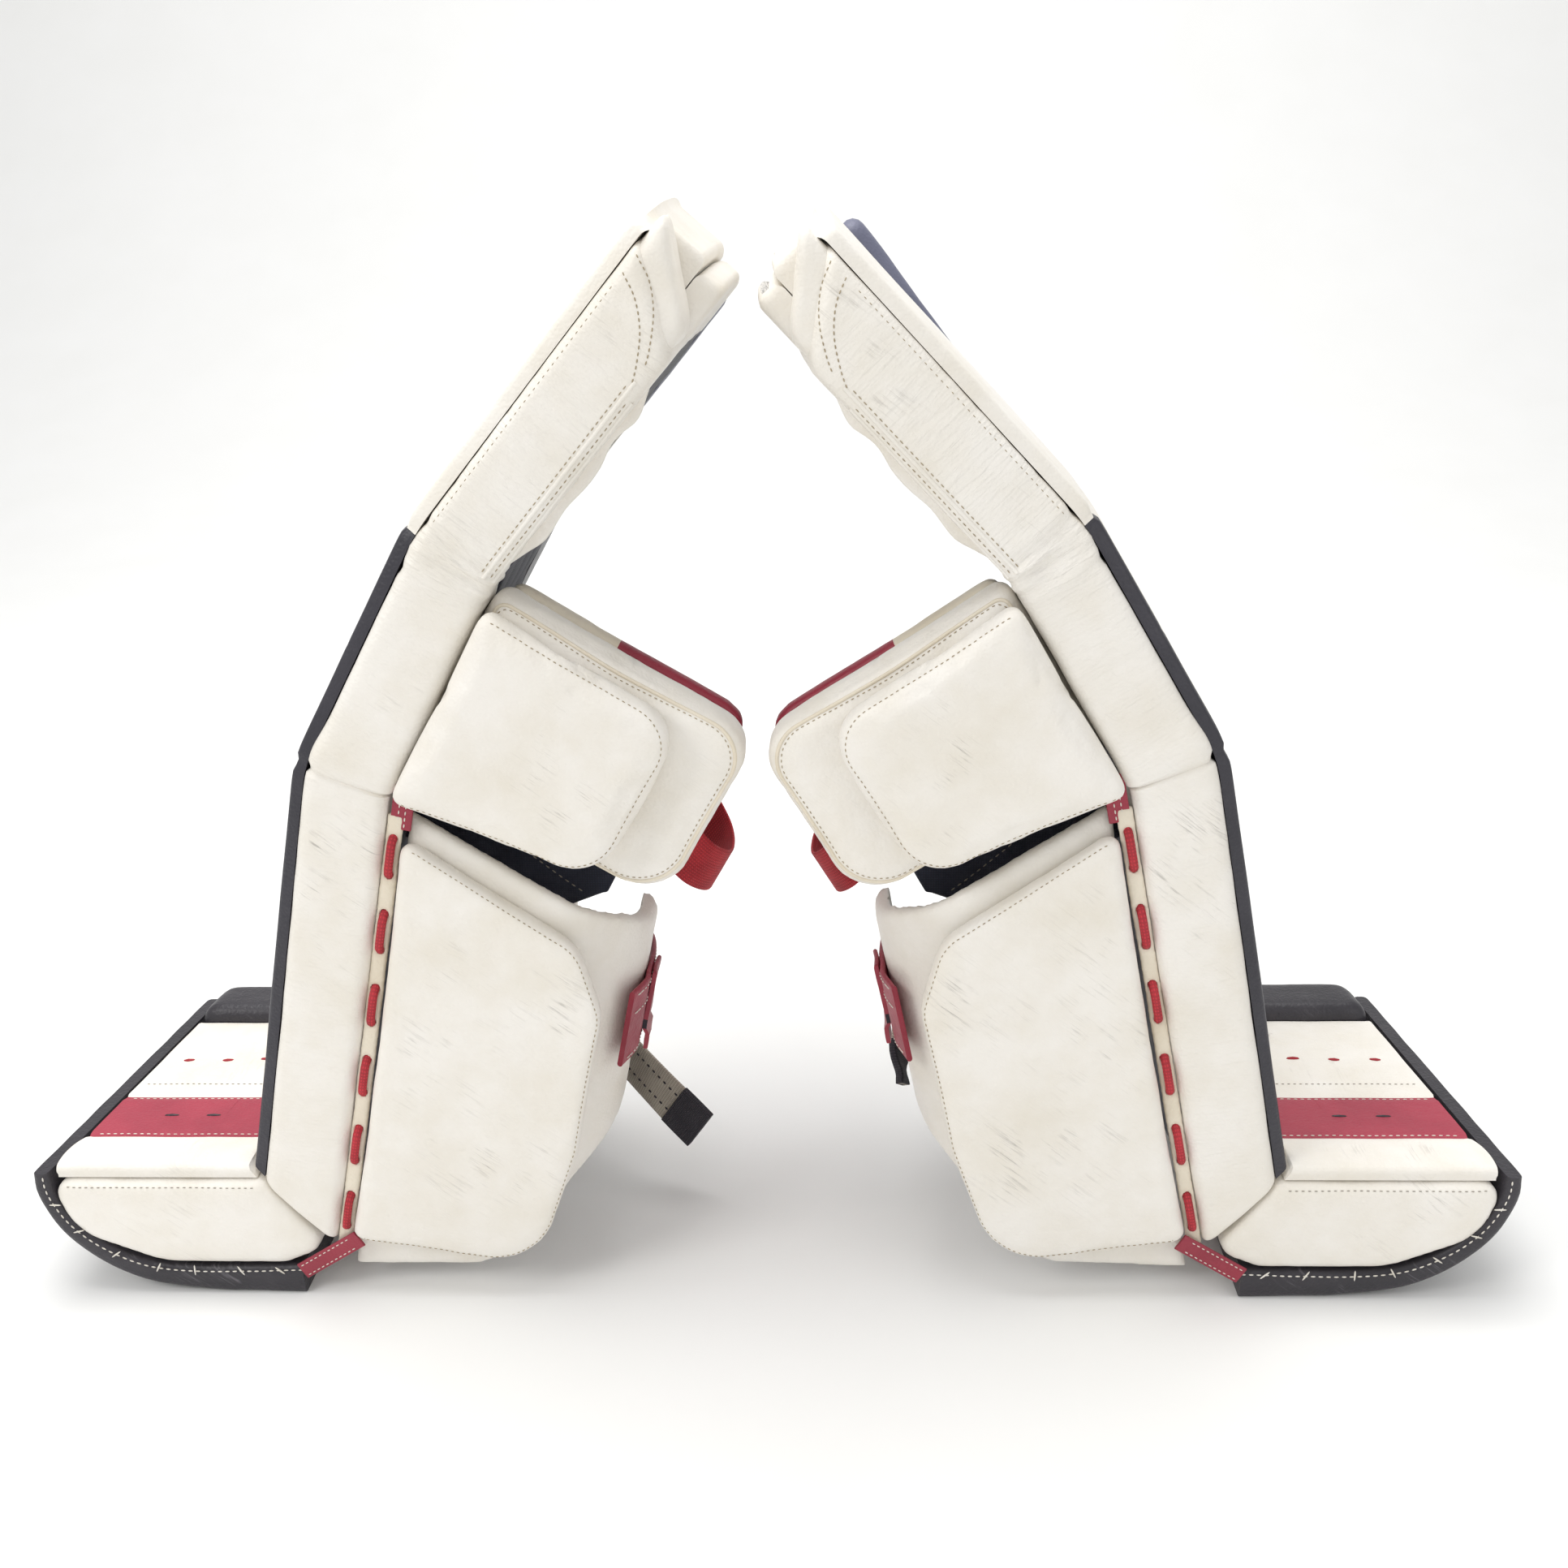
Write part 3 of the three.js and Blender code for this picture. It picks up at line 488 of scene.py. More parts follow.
# %% [markdown]
# ## Materials
# Colours are given as sRGB hex values. The renderer works in linear light, so one function turns
# them. One more adds a node, sets it up and links it.

# %% Colour and node helpers
def linear(hex_value):
    parts = [int(hex_value[i:i + 2], 16) / 255 for i in (0, 2, 4)]
    return tuple(c / 12.92 if c <= 0.04045 else ((c + 0.055) / 1.055) ** 2.4
                 for c in parts) + (1,)


def add(tree, kind, inputs=None, **settings):
    node = tree.nodes.new("ShaderNode" + kind)
    for name, value in settings.items():
        setattr(node, name, value)
    for name, value in (inputs or {}).items():
        socket = node.inputs[name]
        if isinstance(value, bpy.types.NodeSocket):
            tree.links.new(value, socket)
        else:
            socket.default_value = value
    return node


def new_material(name, **values):
    """A material with its uniform values set on the shader's own sockets."""
    material = bpy.data.materials.new(name)
    material.use_nodes = True
    shader = material.node_tree.nodes["Principled BSDF"]
    for socket, value in values.items():
        shader.inputs[socket.replace("_", " ").title().replace("Ior", "IOR")].default_value = value
    return material, material.node_tree, shader


print("white leather in linear light", [round(c, 3) for c in linear("EFEBE3")])

# %% [markdown]
# ### Synthetic leather
# Pad skins are polyurethane-coated microfibre, embossed with a fine pebble and finished with a
# satin topcoat. The pebble is a cell pattern, the handling creases are stretched noise, and
# pucks and posts leave grey scuffs where a piece carries a wear attribute. The real pebble is
# near 1 mm; it is drawn at 2 mm so that it still shows from a metre away.

# %% Embossed synthetic leathers
PEBBLE = 2.0  # mm


def leather(name, base, shade, scuff, scuff_share, roughness):
    material, tree, shader = new_material(name, roughness=roughness)
    place = add(tree, "TexCoord").outputs["Object"]
    mottle = add(tree, "TexNoise", {"Vector": place, "Scale": 1 / (55 * MM), "Detail": 3.0,
                                    "Roughness": 0.6})
    tone = add(tree, "MapRange", {"Value": mottle.outputs["Fac"], "From Min": 0.35,
                                  "From Max": 0.75})
    colour = add(tree, "MixRGB", {"Fac": tone.outputs["Result"], "Color1": linear(base),
                                  "Color2": linear(shade)})
    slanted = add(tree, "Mapping", {"Vector": place, "Rotation": (0, math.radians(38), 0),
                                    "Scale": (30 * MM, 30 * MM, 1.7 * MM)}, vector_type="TEXTURE")
    streaks = add(tree, "TexNoise", {"Vector": slanted.outputs["Vector"], "Scale": 1.0,
                                     "Detail": 4.0, "Roughness": 0.7})
    patches = add(tree, "TexNoise", {"Vector": place, "Scale": 1 / (24 * MM), "Detail": 2.0})
    worn = add(tree, "Attribute", attribute_name="wear")
    lines = add(tree, "MapRange", {"Value": streaks.outputs["Fac"], "From Min": 0.53,
                                   "From Max": 0.70})
    spots = add(tree, "MapRange", {"Value": patches.outputs["Fac"], "From Min": 0.48,
                                   "From Max": 0.64})
    both = add(tree, "Math", {0: lines.outputs["Result"], 1: spots.outputs["Result"]},
               operation="MULTIPLY")
    amount = add(tree, "Math", {0: both.outputs["Value"], 1: worn.outputs["Fac"]},
                 operation="MULTIPLY")
    share = add(tree, "Math", {0: amount.outputs["Value"], 1: scuff_share}, operation="MULTIPLY")
    scuffed = add(tree, "MixRGB", {"Fac": share.outputs["Value"],
                                   "Color1": colour.outputs["Color"], "Color2": linear(scuff)})
    pebble = add(tree, "TexVoronoi", {"Vector": place, "Scale": 1 / (PEBBLE * MM)},
                 feature="SMOOTH_F1")
    creases = add(tree, "TexNoise", {"Vector": place, "Scale": 1 / (9 * MM), "Detail": 5.0,
                                     "Distortion": 0.6})
    height = add(tree, "Math", {0: creases.outputs["Fac"], 1: 1.6, 2: pebble.outputs["Distance"]},
                 operation="MULTIPLY_ADD")
    straight = add(tree, "Attribute", attribute_name="straight")
    lengthways = add(tree, "Mapping", {"Vector": straight.outputs["Vector"],
                                       "Scale": (22 * MM, 22 * MM, 3.4 * MM)},
                     vector_type="TEXTURE")
    wrinkles = add(tree, "TexNoise", {"Vector": lengthways.outputs["Vector"], "Scale": 1.0,
                                      "Detail": 3.0, "Distortion": 0.5})
    folds = add(tree, "Attribute", attribute_name="folds")
    folded = add(tree, "Math", {0: wrinkles.outputs["Fac"], 1: folds.outputs["Fac"]},
                 operation="MULTIPLY")
    height = add(tree, "Math", {0: folded.outputs["Value"], 1: 9.0, 2: height.outputs["Value"]},
                 operation="MULTIPLY_ADD")
    bump = add(tree, "Bump", {"Height": height.outputs["Value"], "Strength": 0.55,
                              "Distance": 0.5 * MM})
    gloss = add(tree, "MapRange", {"Value": creases.outputs["Fac"], "To Min": roughness - 0.07,
                                   "To Max": roughness + 0.12})
    tree.links.new(scuffed.outputs["Color"], shader.inputs["Base Color"])
    tree.links.new(gloss.outputs["Result"], shader.inputs["Roughness"])
    tree.links.new(bump.outputs["Normal"], shader.inputs["Normal"])
    return material


WHITE = leather("white_pu_leather", "EEEAE3", "E5DFD3", "746E67", 0.62, 0.44)
CREAM = leather("cream_pu_leather", "E6DDCB", "D8CCB6", "7A7064", 0.5, 0.5)
CHARCOAL = leather("charcoal_pu_leather", "34323A", "2A2930", "77747C", 0.35, 0.42)
BLACK = leather("black_pu_leather", "322F35", "26242A", "7A767C", 0.5, 0.4)
MAROON = leather("maroon_pu_leather", "9C3042", "8A2839", "5A1A26", 0.4, 0.45)
RUBY = leather("ruby_pu_leather", "A8384B", "983043", "4A1620", 0.5, 0.45)
print("leathers", [m.name for m in (WHITE, CREAM, CHARCOAL, BLACK, MAROON, RUBY)])

# %% [markdown]
# ### Woven goods
# The lining is a plain-woven navy nylon over foam, the knee strap a ribbed polyester webbing, and
# the heel strap a knitted elastic with two broken lines woven in. Each weave is a pair of crossed
# waves whose pitch is the real thread spacing, or coarser where that would be too fine to show.

# %% Nylon, webbing, elastic and thread
def woven(name, base, shade, along, across, depth, roughness, uv=True, sheen=0.0):
    """A cloth of two crossed waves, with pitches along and across it in mm."""
    material, tree, shader = new_material(name, roughness=roughness, sheen_weight=sheen)
    source = add(tree, "TexCoord").outputs["UV" if uv else "Object"]
    warp = add(tree, "TexWave", {"Vector": source, "Scale": math.pi / 10 / (along * MM),
                                 "Distortion": 0.6, "Detail": 1.0},
               bands_direction="Y" if uv else "Z")
    weft = add(tree, "TexWave", {"Vector": source, "Scale": math.pi / 10 / (across * MM),
                                 "Distortion": 0.6, "Detail": 1.0}, bands_direction="X")
    cross = add(tree, "Math", {0: warp.outputs["Fac"], 1: weft.outputs["Fac"]},
                operation="MULTIPLY")
    dust = add(tree, "TexNoise", {"Vector": source, "Scale": 1 / (30 * MM), "Detail": 3.0})
    # The colour is darker where the weave is low, following the same height as its bump: painted
    # shade in the weave's hollows, mixed with a random dust tone.
    weave_shade_and_dust = add(tree, "Math", {0: cross.outputs["Value"], 1: 0.6, 2: dust.outputs["Fac"]},
                operation="MULTIPLY_ADD")
    tone = add(tree, "MapRange", {"Value": weave_shade_and_dust.outputs["Value"], "From Min": 0.35,
                                  "From Max": 1.1})
    colour = add(tree, "MixRGB", {"Fac": tone.outputs["Result"], "Color1": linear(shade),
                                  "Color2": linear(base)})
    bump = add(tree, "Bump", {"Height": cross.outputs["Value"], "Strength": 0.6,
                              "Distance": depth * MM})
    tree.links.new(colour.outputs["Color"], shader.inputs["Base Color"])
    tree.links.new(bump.outputs["Normal"], shader.inputs["Normal"])
    return material


NYLON = woven("navy_nylon_lining", "262C3F", "171B2A", 1.8, 1.8, 0.35, 0.8, uv=False, sheen=0.2)
NAVY = leather("navy_pu_leather", "6A6C80", "5C5E72", "9A9AA6", 0.3, 0.5)
WEBBING = woven("red_polyester_webbing", "D5303A", "9E1C26", 2.6, 2.2, 0.6, 0.7)
ELASTIC = woven("grey_knitted_elastic", "C6BCAE", "8E857A", 2.2, 1.6, 0.5, 0.85)
LACE = woven("red_braided_lace", "CC3540", "92202A", 2.4, 2.4, 0.6, 0.7)
HOOKS = woven("charcoal_hook_tape", "4A464C", "2A282E", 1.6, 1.6, 0.8, 0.95)
THREAD = woven("white_bonded_thread", "F2EFE8", "CFC8BA", 1.0, 1.0, 0.15, 0.6, uv=False)
GREY_THREAD = woven("grey_bonded_thread", "A39C90", "7D776C", 1.0, 1.0, 0.15, 0.7, uv=False)
# The seam thread is a darker beige than the white thread: painted shade of the sunken seam line
# that it is sewn along.
SEAM = woven("shadowed_seam_thread", "B5A88F", "9A8C72", 1.0, 1.0, 0.15, 0.8, uv=False)

# %% [markdown]
# ### Plastic
# The stiffener in the thigh rise is a sheet of polyethylene. It is closed in between the core and
# the lining, so its CAD solid stays as it is and only gets a finish.

# %% Milky polyethylene sheet
BOARD, tree, shader = new_material("milky_polyethylene", roughness=0.4, ior=1.5)
cloudy = add(tree, "TexNoise", {"Vector": add(tree, "TexCoord").outputs["Object"],
                                "Scale": 1 / (20 * MM), "Detail": 2.0})
milk = add(tree, "MixRGB", {"Fac": cloudy.outputs["Fac"], "Color1": linear("E6E6E2"),
                            "Color2": linear("D8D8D2")})
tree.links.new(milk.outputs["Color"], shader.inputs["Base Color"])
for pad in PADS:
    board = frame["nodes"][pad.side + "_thigh_board"]
    board.data.materials.clear()
    board.data.materials.append(BOARD)
print("thigh boards finished")

# %% [markdown]
# ## The inner edge roll
# The roll along the leg's inner side is a box of foam sewn into leather, the pad's most visible
# part. It is one long bar, pinched where it is sewn at the knee break, creased where the thigh
# folds, and cut on a slant at both ends. It is parted half way up the knee, out of the eye's way,
# because a skin can bend across only one break.

# %% Edge rolls from the ankle to the top of the thigh
EDGE_OUTLINE = [(0, 0, 9), (0, EDGE, 2), (-DEPTH, EDGE, 4), (-DEPTH, 0, 9)]
ROLL_FOOT, ROLL_HEAD = -22, TOP - 10  # the ends of the roll before they are cut on a slant
HEAD_SLANT, HEAD_TILT = 0.77, 0.35  # how the upper cut falls back, and across the roll


def slanted(bm, at, reach, plane):
    """Shears the end of a bar at that height onto the plane, fading out over reach."""
    for v in bm.verts:
        w = max(0, 1 - abs(v.co.z - at) / reach) if abs(v.co.z - at) < reach else 0
        v.co.z += w * (plane(v.co.x, v.co.y) - at)


def roll_depth(x, y, s):
    """Slack, the knee seam, the folds over the thigh break, and the foam's own fullness."""
    slack = 0.9 * ripple(x, y, s, 70) + 0.35 * ripple(x, y, s, 22)
    seam = -3.2 * hump(s, KNEE_AT + 1, 2.6) + 1.2 * hump(s, KNEE_AT + 16, 14)
    folds = ripple(x + 40, y, s, 9, (0.22, 0.22, 1)) - 0.25
    crease = 4.5 * folds * hump(s, THIGH_AT - 6, 20)
    grain = 0.45 * ripple(x, y, s, 7, (0.3, 0.3, 1)) * hump(s, THIGH_AT + 60, 80)
    puff = 1.2 * max(0, 1 - ((x + 29) / 29) ** 2)
    return slack + seam + crease + grain + puff


def mitre(lean, spare):
    """The slope of the cut between shin and boot, on each side of the corner's halving line."""
    return 1 / math.tan(math.radians(45) + lean / 2 + math.radians(spare))


for pad in PADS:
    slope = mitre(pad.leans[0], 2.5)
    lower = bar(rounded(EDGE_OUTLINE, 3.5), ROLL_FOOT, MIDDLE, 3, 5, 0)
    slanted(lower, ROLL_FOOT, 70, lambda x, y: slope * x - 1)
    push(lower, roll_depth)
    pad.lower_roll = lower.copy()
    finish(lower, pad, "lower_edge_roll", [WHITE], pad.bent, blend=LOWER,
           stands_for=["shin_edge_roll"],
           folds=[(-29, 0, s, 60, 0.35) for s in (40, 150, 260, 380)],
           wear=[(-25, 0, 270, 45, 0.9), (-20, 0, 215, 40, 0.5), (-30, 0, 410, 30, 0.4)])
    upper = bar(rounded(EDGE_OUTLINE, 3.5), MIDDLE, ROLL_HEAD, 3, 0, 8)
    slanted(upper, ROLL_HEAD, 110,
            lambda x, y: TOP + 2 + HEAD_SLANT * x + HEAD_TILT * (y - 8))
    push(upper, roll_depth)
    pad.upper_roll = upper.copy()
    finish(upper, pad, "upper_edge_roll", [WHITE], pad.bent, blend=UPPER,
           stands_for=["knee_edge_roll", "thigh_edge_roll"],
           folds=[(-29, 0, THIGH_AT - 4, 30, 1.0), (-34, 0, THIGH_AT + 70, 60, 0.6),
                  (-34, 0, THIGH_AT + 160, 50, 0.4), (-29, 0, KNEE_AT + 95, 60, 0.4)],
           wear=[(-25, 0, 700, 26, 0.8), (-35, 0, 655, 22, 0.6), (-15, 0, 520, 30, 0.5)])
print("edge rolls", len(pad.lower_roll.verts), len(pad.upper_roll.verts), "points")

# %% [markdown]
# The roll's leather is closed by a stitched seam in front and by two rows of piping behind, where
# its edge is left loose. At its top two curved seams close it like the toe of a sock, and a
# stuffed cap fills the shoulder above them.

# %% Seams of the roll, its piping and the loose edge behind it
INNER = (0, 1, 0)  # the way to look at the pad from its inner side
FLANGE_LOW, FLANGE_HIGH = THIGH_AT + 8, TOP - 52
FLANGE_FOLD = -56  # the loose edge waves behind this line
CAP_OUTLINE = [(-2, 3, 9), (-2, 46, 2), (-56, 46, 6), (-54, 4, 10)]
CAP_DRAFT, CAP_LEAST = 40, 14  # the cap's height as drawn, and its least height in place


def leather_cord(radius, skin, line, towards, lift=0.0):
    return sweep(circle(radius, 8), draped(skin, line, towards, lift))


for pad in PADS:
    skin = pad.upper_roll
    front = [(-5, 0, s) for s in range(THIGH_AT + 14, TOP - 24, 4)]
    sew(pad, "upper_roll_stitching", skin, front, INNER, pad.bent, 2.2, 2.6, 0.32, 0.0)
    for x, high in ((-47, 66), (-53.5, 76)):
        behind = [(x, 0, s) for s in range(THIGH_AT + 6, TOP - high, 4)]
        sew(pad, "upper_roll_stitching", skin, behind, INNER, pad.bent, 3.0, 1.6, 0.4, 0.1)
    for x, high in ((-50, 62), (-56, 74)):
        behind = [(x, 0, s) for s in range(THIGH_AT + 2, TOP - high, 6)]
        finish(leather_cord(1.5, skin, behind, INNER, -0.3), pad, f"thigh_piping_{-x}", [WHITE],
               pad.bent, "thigh")
    for lower, across in ((9, 0), (-4, 6)):
        seam = curve([(-5, across, TOP - 12 - lower), (-20, across, TOP - 19 - lower),
                      (-34, across, TOP - 32 - lower), (-45, across, TOP - 50 - lower),
                      (-50, across, TOP - 62 - lower)])
        sew(pad, "upper_roll_stitching", skin, seam, INNER, pad.bent, 2.6, 1.4, 0.5, 0.1)
    flange = bar(rounded([(-50, 19), (-50, 22.4), (-64, 22.4, 1.6), (-64, 19, 1.6)], 4),
                 FLANGE_LOW, FLANGE_HIGH, 4, 2, 2)
    for v in flange.verts:
        if v.co.x < FLANGE_FOLD:
            ends = smooth((v.co.z - FLANGE_LOW) / 40) * smooth((FLANGE_HIGH - v.co.z) / 40)
            waved = (v.co.x - FLANGE_FOLD) * ends * (1 + 0.9 * ripple(0, 4, v.co.z, 34))
            v.co.x = FLANGE_FOLD + waved
        v.co.y += 1.6 * ripple(9, 0, v.co.z, 26)
    finish(flange, pad, "thigh_loose_edge", [WHITE], pad.bent, "thigh")
    cap = remeshed(bar(rounded(CAP_OUTLINE, 4), 0, CAP_DRAFT, 4, 3, 9), 3.0, 2)
    for v in cap.verts:
        low = TOP - 12 + HEAD_SLANT * v.co.x + HEAD_TILT * v.co.y
        high = TOP + 9 + 0.86 * (v.co.x + 18)
        v.co.z = low + (max(high, low + CAP_LEAST) - low) * v.co.z / CAP_DRAFT
    push(cap, lambda x, y, s: 1.0 * ripple(x, y, s, 24) + 0.4 * ripple(x, y, s, 8))
    finish(cap, pad, "thigh_shoulder_cap", [WHITE], pad.bent, "thigh")
print("roll seams", list(PADS[0].sewing))

# %% [markdown]
# ## The outer roll
# On the other side of the face a roll stands a finger's breadth proud. It is black leather on
# the shin and knee. Over the thigh it is white for a hand's breadth and then navy, and it flares
# forward towards the top.

# %% Outer rolls
OUTER_OUTLINE = [(-DEPTH, WIDTH - OUTER, 2), (OUTER_RISE, WIDTH - OUTER, 16),
                 (OUTER_RISE, WIDTH, 16), (-DEPTH, WIDTH, 9)]
NAVY_AT = THIGH_AT + 95  # where the thigh's white leather ends and the navy begins
FLARE, FLARE_FROM, FLARE_OVER = 11, THIGH_AT + 90, 140


def outer_depth(x, y, s):
    pinch = hump(s, KNEE_AT, 3) + hump(s, THIGH_AT, 3) + 0.8 * hump(s, NAVY_AT, 2.5)
    return 0.8 * ripple(x, y, s, 60) + 0.3 * ripple(x, y, s, 18) - 2.6 * pinch


for pad in PADS:
    slope = mitre(pad.leans[0], 2)
    lower = bar(rounded(OUTER_OUTLINE, 5), 0, MIDDLE, 4, 8, 0)
    slanted(lower, 0, 60, lambda x, y: slope * x + BOOT_RISE)
    push(lower, outer_depth)
    finish(lower, pad, "lower_outer_roll", [BLACK], pad.bent, blend=LOWER,
           stands_for=["shin_outer_roll"],
           wear=[(22, 255, s, 40, 0.7) for s in (60, 180, 300)])
    upper = bar(rounded(OUTER_OUTLINE, 5), MIDDLE, TOP, 4, 0, 12)
    slanted(upper, TOP, 60, lambda x, y: TOP + 0.2 * x)
    push(upper, outer_depth)
    for v in upper.verts:  # the roll flares forward towards the top
        if v.co.x > 0:
            v.co.x += FLARE * smooth((v.co.z - FLARE_FROM) / FLARE_OVER)
    finish(upper, pad, "upper_outer_roll", [BLACK, WHITE, NAVY], pad.bent, blend=UPPER,
           stands_for=["knee_outer_roll", "thigh_outer_roll"],
           paint=lambda x, y, s: (s > THIGH_AT) + (s > NAVY_AT))
print("outer rolls made")

# %% [markdown]
# ## The face
# The face is the part that stops pucks: a foam core with a leather front, low seams at the
# breaks and a dark strip along its inner edge on the shin and knee. Its crown is highest in the
# middle. The thigh rise ends in a rounded top, and is white right up to its edge.

# %% Face and core skins
FACE_OUTLINE = [(0.4, 6), (FACE_RISE, 8, 3), (FACE_RISE, 230.6), (-37.5, 230.6), (-37.5, 46.4),
                (0.4, 46.4)]
STRIP_EDGE = 21  # how far across the pad the dark strip reaches


def crown_top(y):
    return TOP + 20 * math.sin(math.pi * (y + 30) / 330)


def face_depth(x, y, s):
    if x < 4:
        return 0.0
    seams = hump(s, KNEE_AT, 3) + hump(s, THIGH_AT, 3)
    crown = 4.0 * math.sin(math.pi * min(1, max(0, (y - 6) / 225))) ** 0.7
    return crown - 2.4 * seams + 0.4 * ripple(x, y, s, 50)


def dark_strip(x, y, s):
    """1 on the strip along the inner edge of the shin and knee, and 0 elsewhere."""
    return int(y < STRIP_EDGE and x > 0.2 and s < THIGH_AT)


for pad in PADS:
    slope = mitre(pad.leans[0], 3)
    lower = bar(rounded(FACE_OUTLINE, 6), 0, MIDDLE, 4)
    slanted(lower, 0, 60, lambda x, y: slope * x + 1)
    push(lower, face_depth)
    finish(lower, pad, "lower_face", [WHITE, CHARCOAL], pad.bent, blend=LOWER,
           stands_for=["shin_core"], paint=dark_strip,
           wear=[(12, 120, s, 60, 0.9) for s in (60, 150, 300, 390)])
    upper = bar(rounded(FACE_OUTLINE, 6), MIDDLE, TOP, 4, 0, 6)
    slanted(upper, TOP, 130, lambda x, y: crown_top(y))
    push(upper, face_depth)
    finish(upper, pad, "upper_face", [WHITE, CHARCOAL], pad.bent, blend=UPPER,
           stands_for=["knee_core", "thigh_core"],
           paint=dark_strip,
           wear=[(12, 150, s, 60, 0.6) for s in (470, 600, 700)])
print("faces made")

# %% [markdown]
# ## The lining
# Behind the core lies a padded navy lining, quilted in a square pattern, that rests against the
# leg. Its top is turned over in white leather. The knee's cradle is the padded channel that
# keeps the knee centred.

# %% Linings and knee cradle
LINING_OUTLINE = [(-38.3, 46.4), (-38.3, 230.6), (-DEPTH, 230.6, 6), (-DEPTH, 46.4, 6)]
QUILT = 46  # mm between rows of quilting


def quilted(x, y, s):
    if x > -50:
        return 0.0
    rows = abs(math.sin(math.pi * s / QUILT)) ** 0.35 * abs(
        math.sin(math.pi * (y - 46) / QUILT)) ** 0.35
    return (2.2 * rows - 1.6) * smooth((TOP - 20 - s) / 40)


for pad in PADS:
    slope = mitre(pad.leans[0], 3)
    lower = bar(rounded(LINING_OUTLINE, 5), -30, MIDDLE, 4, 5, 0)
    slanted(lower, -30, 50, lambda x, y: slope * x)
    push(lower, quilted)
    finish(lower, pad, "lower_lining", [NYLON], pad.bent, blend=LOWER,
           stands_for=["shin_liner"])
    upper = bar(rounded(LINING_OUTLINE, 5), MIDDLE, TOP - 8, 4, 0, 6)
    slanted(upper, TOP - 8, 120, lambda x, y: crown_top(y) - 8)
    push(upper, quilted)
    pad.lining = upper.copy()
    finish(upper, pad, "upper_lining", [NYLON, WHITE], pad.bent, blend=UPPER,
           stands_for=["knee_liner", "thigh_liner"],
           paint=lambda x, y, s: int(s > crown_top(y) - 58))
    finish(softened(pad.side + "_knee_cradle"), pad, "cradle_cushion", [NYLON], body="knee",
           stands_for=["knee_cradle"])
    zigzag = [(-DEPTH, 150 + 7 * ripple(0, 0, s, 17) + 2.5 * (k % 2), s)
              for k, s in enumerate(range(THIGH_AT + 24, THIGH_AT + 130, 3))]
    sew(pad, "upper_lining_stitching", pad.lining, zigzag, (1, 0, 0), pad.bent, 2.6, 0.4, 0.6)
print("linings made")

# %% [markdown]
# ## The knee flap
# Three layers make the block that the goalkeeper kneels on. The landing pad is the square one in
# front, the block behind it is twice as thick, and a lining panel faces the leg. Each starts as
# a cushion, and on the landing pad and the block cloth simulation with a little air pressure then
# draws the leather tight over it.

# %% Blowing a cushion up as cloth
def swelled(bm, cap=3.0, pressure=4.0):
    """Lets a cushion swell as cloth under pressure. No point moves further than cap mm."""
    before = [v.co.copy() for v in bm.verts]
    mesh = bpy.data.meshes.new("draft")
    bmesh.ops.scale(bm, vec=(MM,) * 3, verts=bm.verts[:])
    bm.to_mesh(mesh)
    draft = bpy.data.objects.new("draft", mesh)
    scene.collection.objects.link(draft)
    cloth = draft.modifiers.new("Cloth", "CLOTH")
    cloth.settings.use_pressure = True
    cloth.settings.uniform_pressure_force = pressure
    cloth.settings.effector_weights.gravity = 0
    cloth.settings.quality = 4
    cloth.point_cache.frame_start, cloth.point_cache.frame_end = 1, 14
    for number in range(1, 15):
        scene.frame_set(number)
    blown = draft.evaluated_get(bpy.context.evaluated_depsgraph_get()).to_mesh()
    for v, old, new in zip(bm.verts, before, blown.vertices):
        move = new.co / MM - old
        v.co = old + move * min(1, cap / max(1e-6, move.length))
    draft.to_mesh_clear()
    bpy.data.objects.remove(draft)
    bpy.data.meshes.remove(mesh)
    scene.frame_set(1)
    return bm


# %% The landing pad, the block and its lining panel
FLAP_X, FLAP_Y = -DEPTH - 0.6, -14  # where the flap hangs in the knee section
LANDING = [(0, 10, 8), (0, 161, 8), (-150, 154, 31), (-150, 28, 35)]
BLOCK = [(0, 24, 8), (0, 169, 8), (-200, 163, 30), (-200, 24, 40)]
PANEL = [(-6, 30, 8), (-6, 168, 8), (-196, 163, 28), (-196, 30, 40)]
SWING = 200.5  # the rear is trimmed to this reach round the hinge


def hung(corners):
    """Corners measured from the flap's sewn edge, moved to where it hangs."""
    return [(x + FLAP_X, z, *r) for x, z, *r in corners]


def trimmed(bm):
    """Keeps a piece inside the circle that its rear may swing through."""
    for v in bm.verts:
        across = min(SWING, abs(v.co.y - FLAP_Y))
        v.co.x = max(v.co.x, FLAP_X - math.sqrt(SWING ** 2 - across ** 2))
    return bm


for pad in PADS:
    knee = pad.rigid("knee")
    landing = cushion(hung(LANDING), FLAP_Y, FLAP_Y + 25, 8, 3.2, 0.8, 2.0)
    landing = swelled(landing, 2.0)
    pad.landing = landing.copy()
    finish(landing, pad, "landing_pad", [WHITE], knee, "knee_flap",
           stands_for=["knee_landing_pad"],
           wear=[(FLAP_X - 90, FLAP_Y, 90, 26, 1.0), (FLAP_X - 112, FLAP_Y, 66, 22, 0.9),
                 (FLAP_X - 70, FLAP_Y, 115, 16, 0.7)])
    block = trimmed(swelled(cushion(hung(BLOCK), FLAP_Y + 26.5, FLAP_Y + 67, 9, 3.5, 0.8, 1.5),
                            1.5))
    pad.block = block.copy()
    finish(block, pad, "knee_block_cushion", [WHITE], knee, "knee_flap",
           stands_for=["knee_block"],
           wear=[(FLAP_X - 180, FLAP_Y + 25, 110, 30, 0.3)])
    panel = trimmed(cushion(hung(PANEL), FLAP_Y + 67.8, FLAP_Y + 84.4, 4, 3.2, 0.3, 1))
    finish(panel, pad, "block_lining", [CREAM, MAROON, NYLON], knee, "knee_flap",
           stands_for=["knee_flap_panel"],
           paint=lambda x, y, z: 2 if y > FLAP_Y + 82.5 else int(x < FLAP_X - 88))
print("knee flaps made")

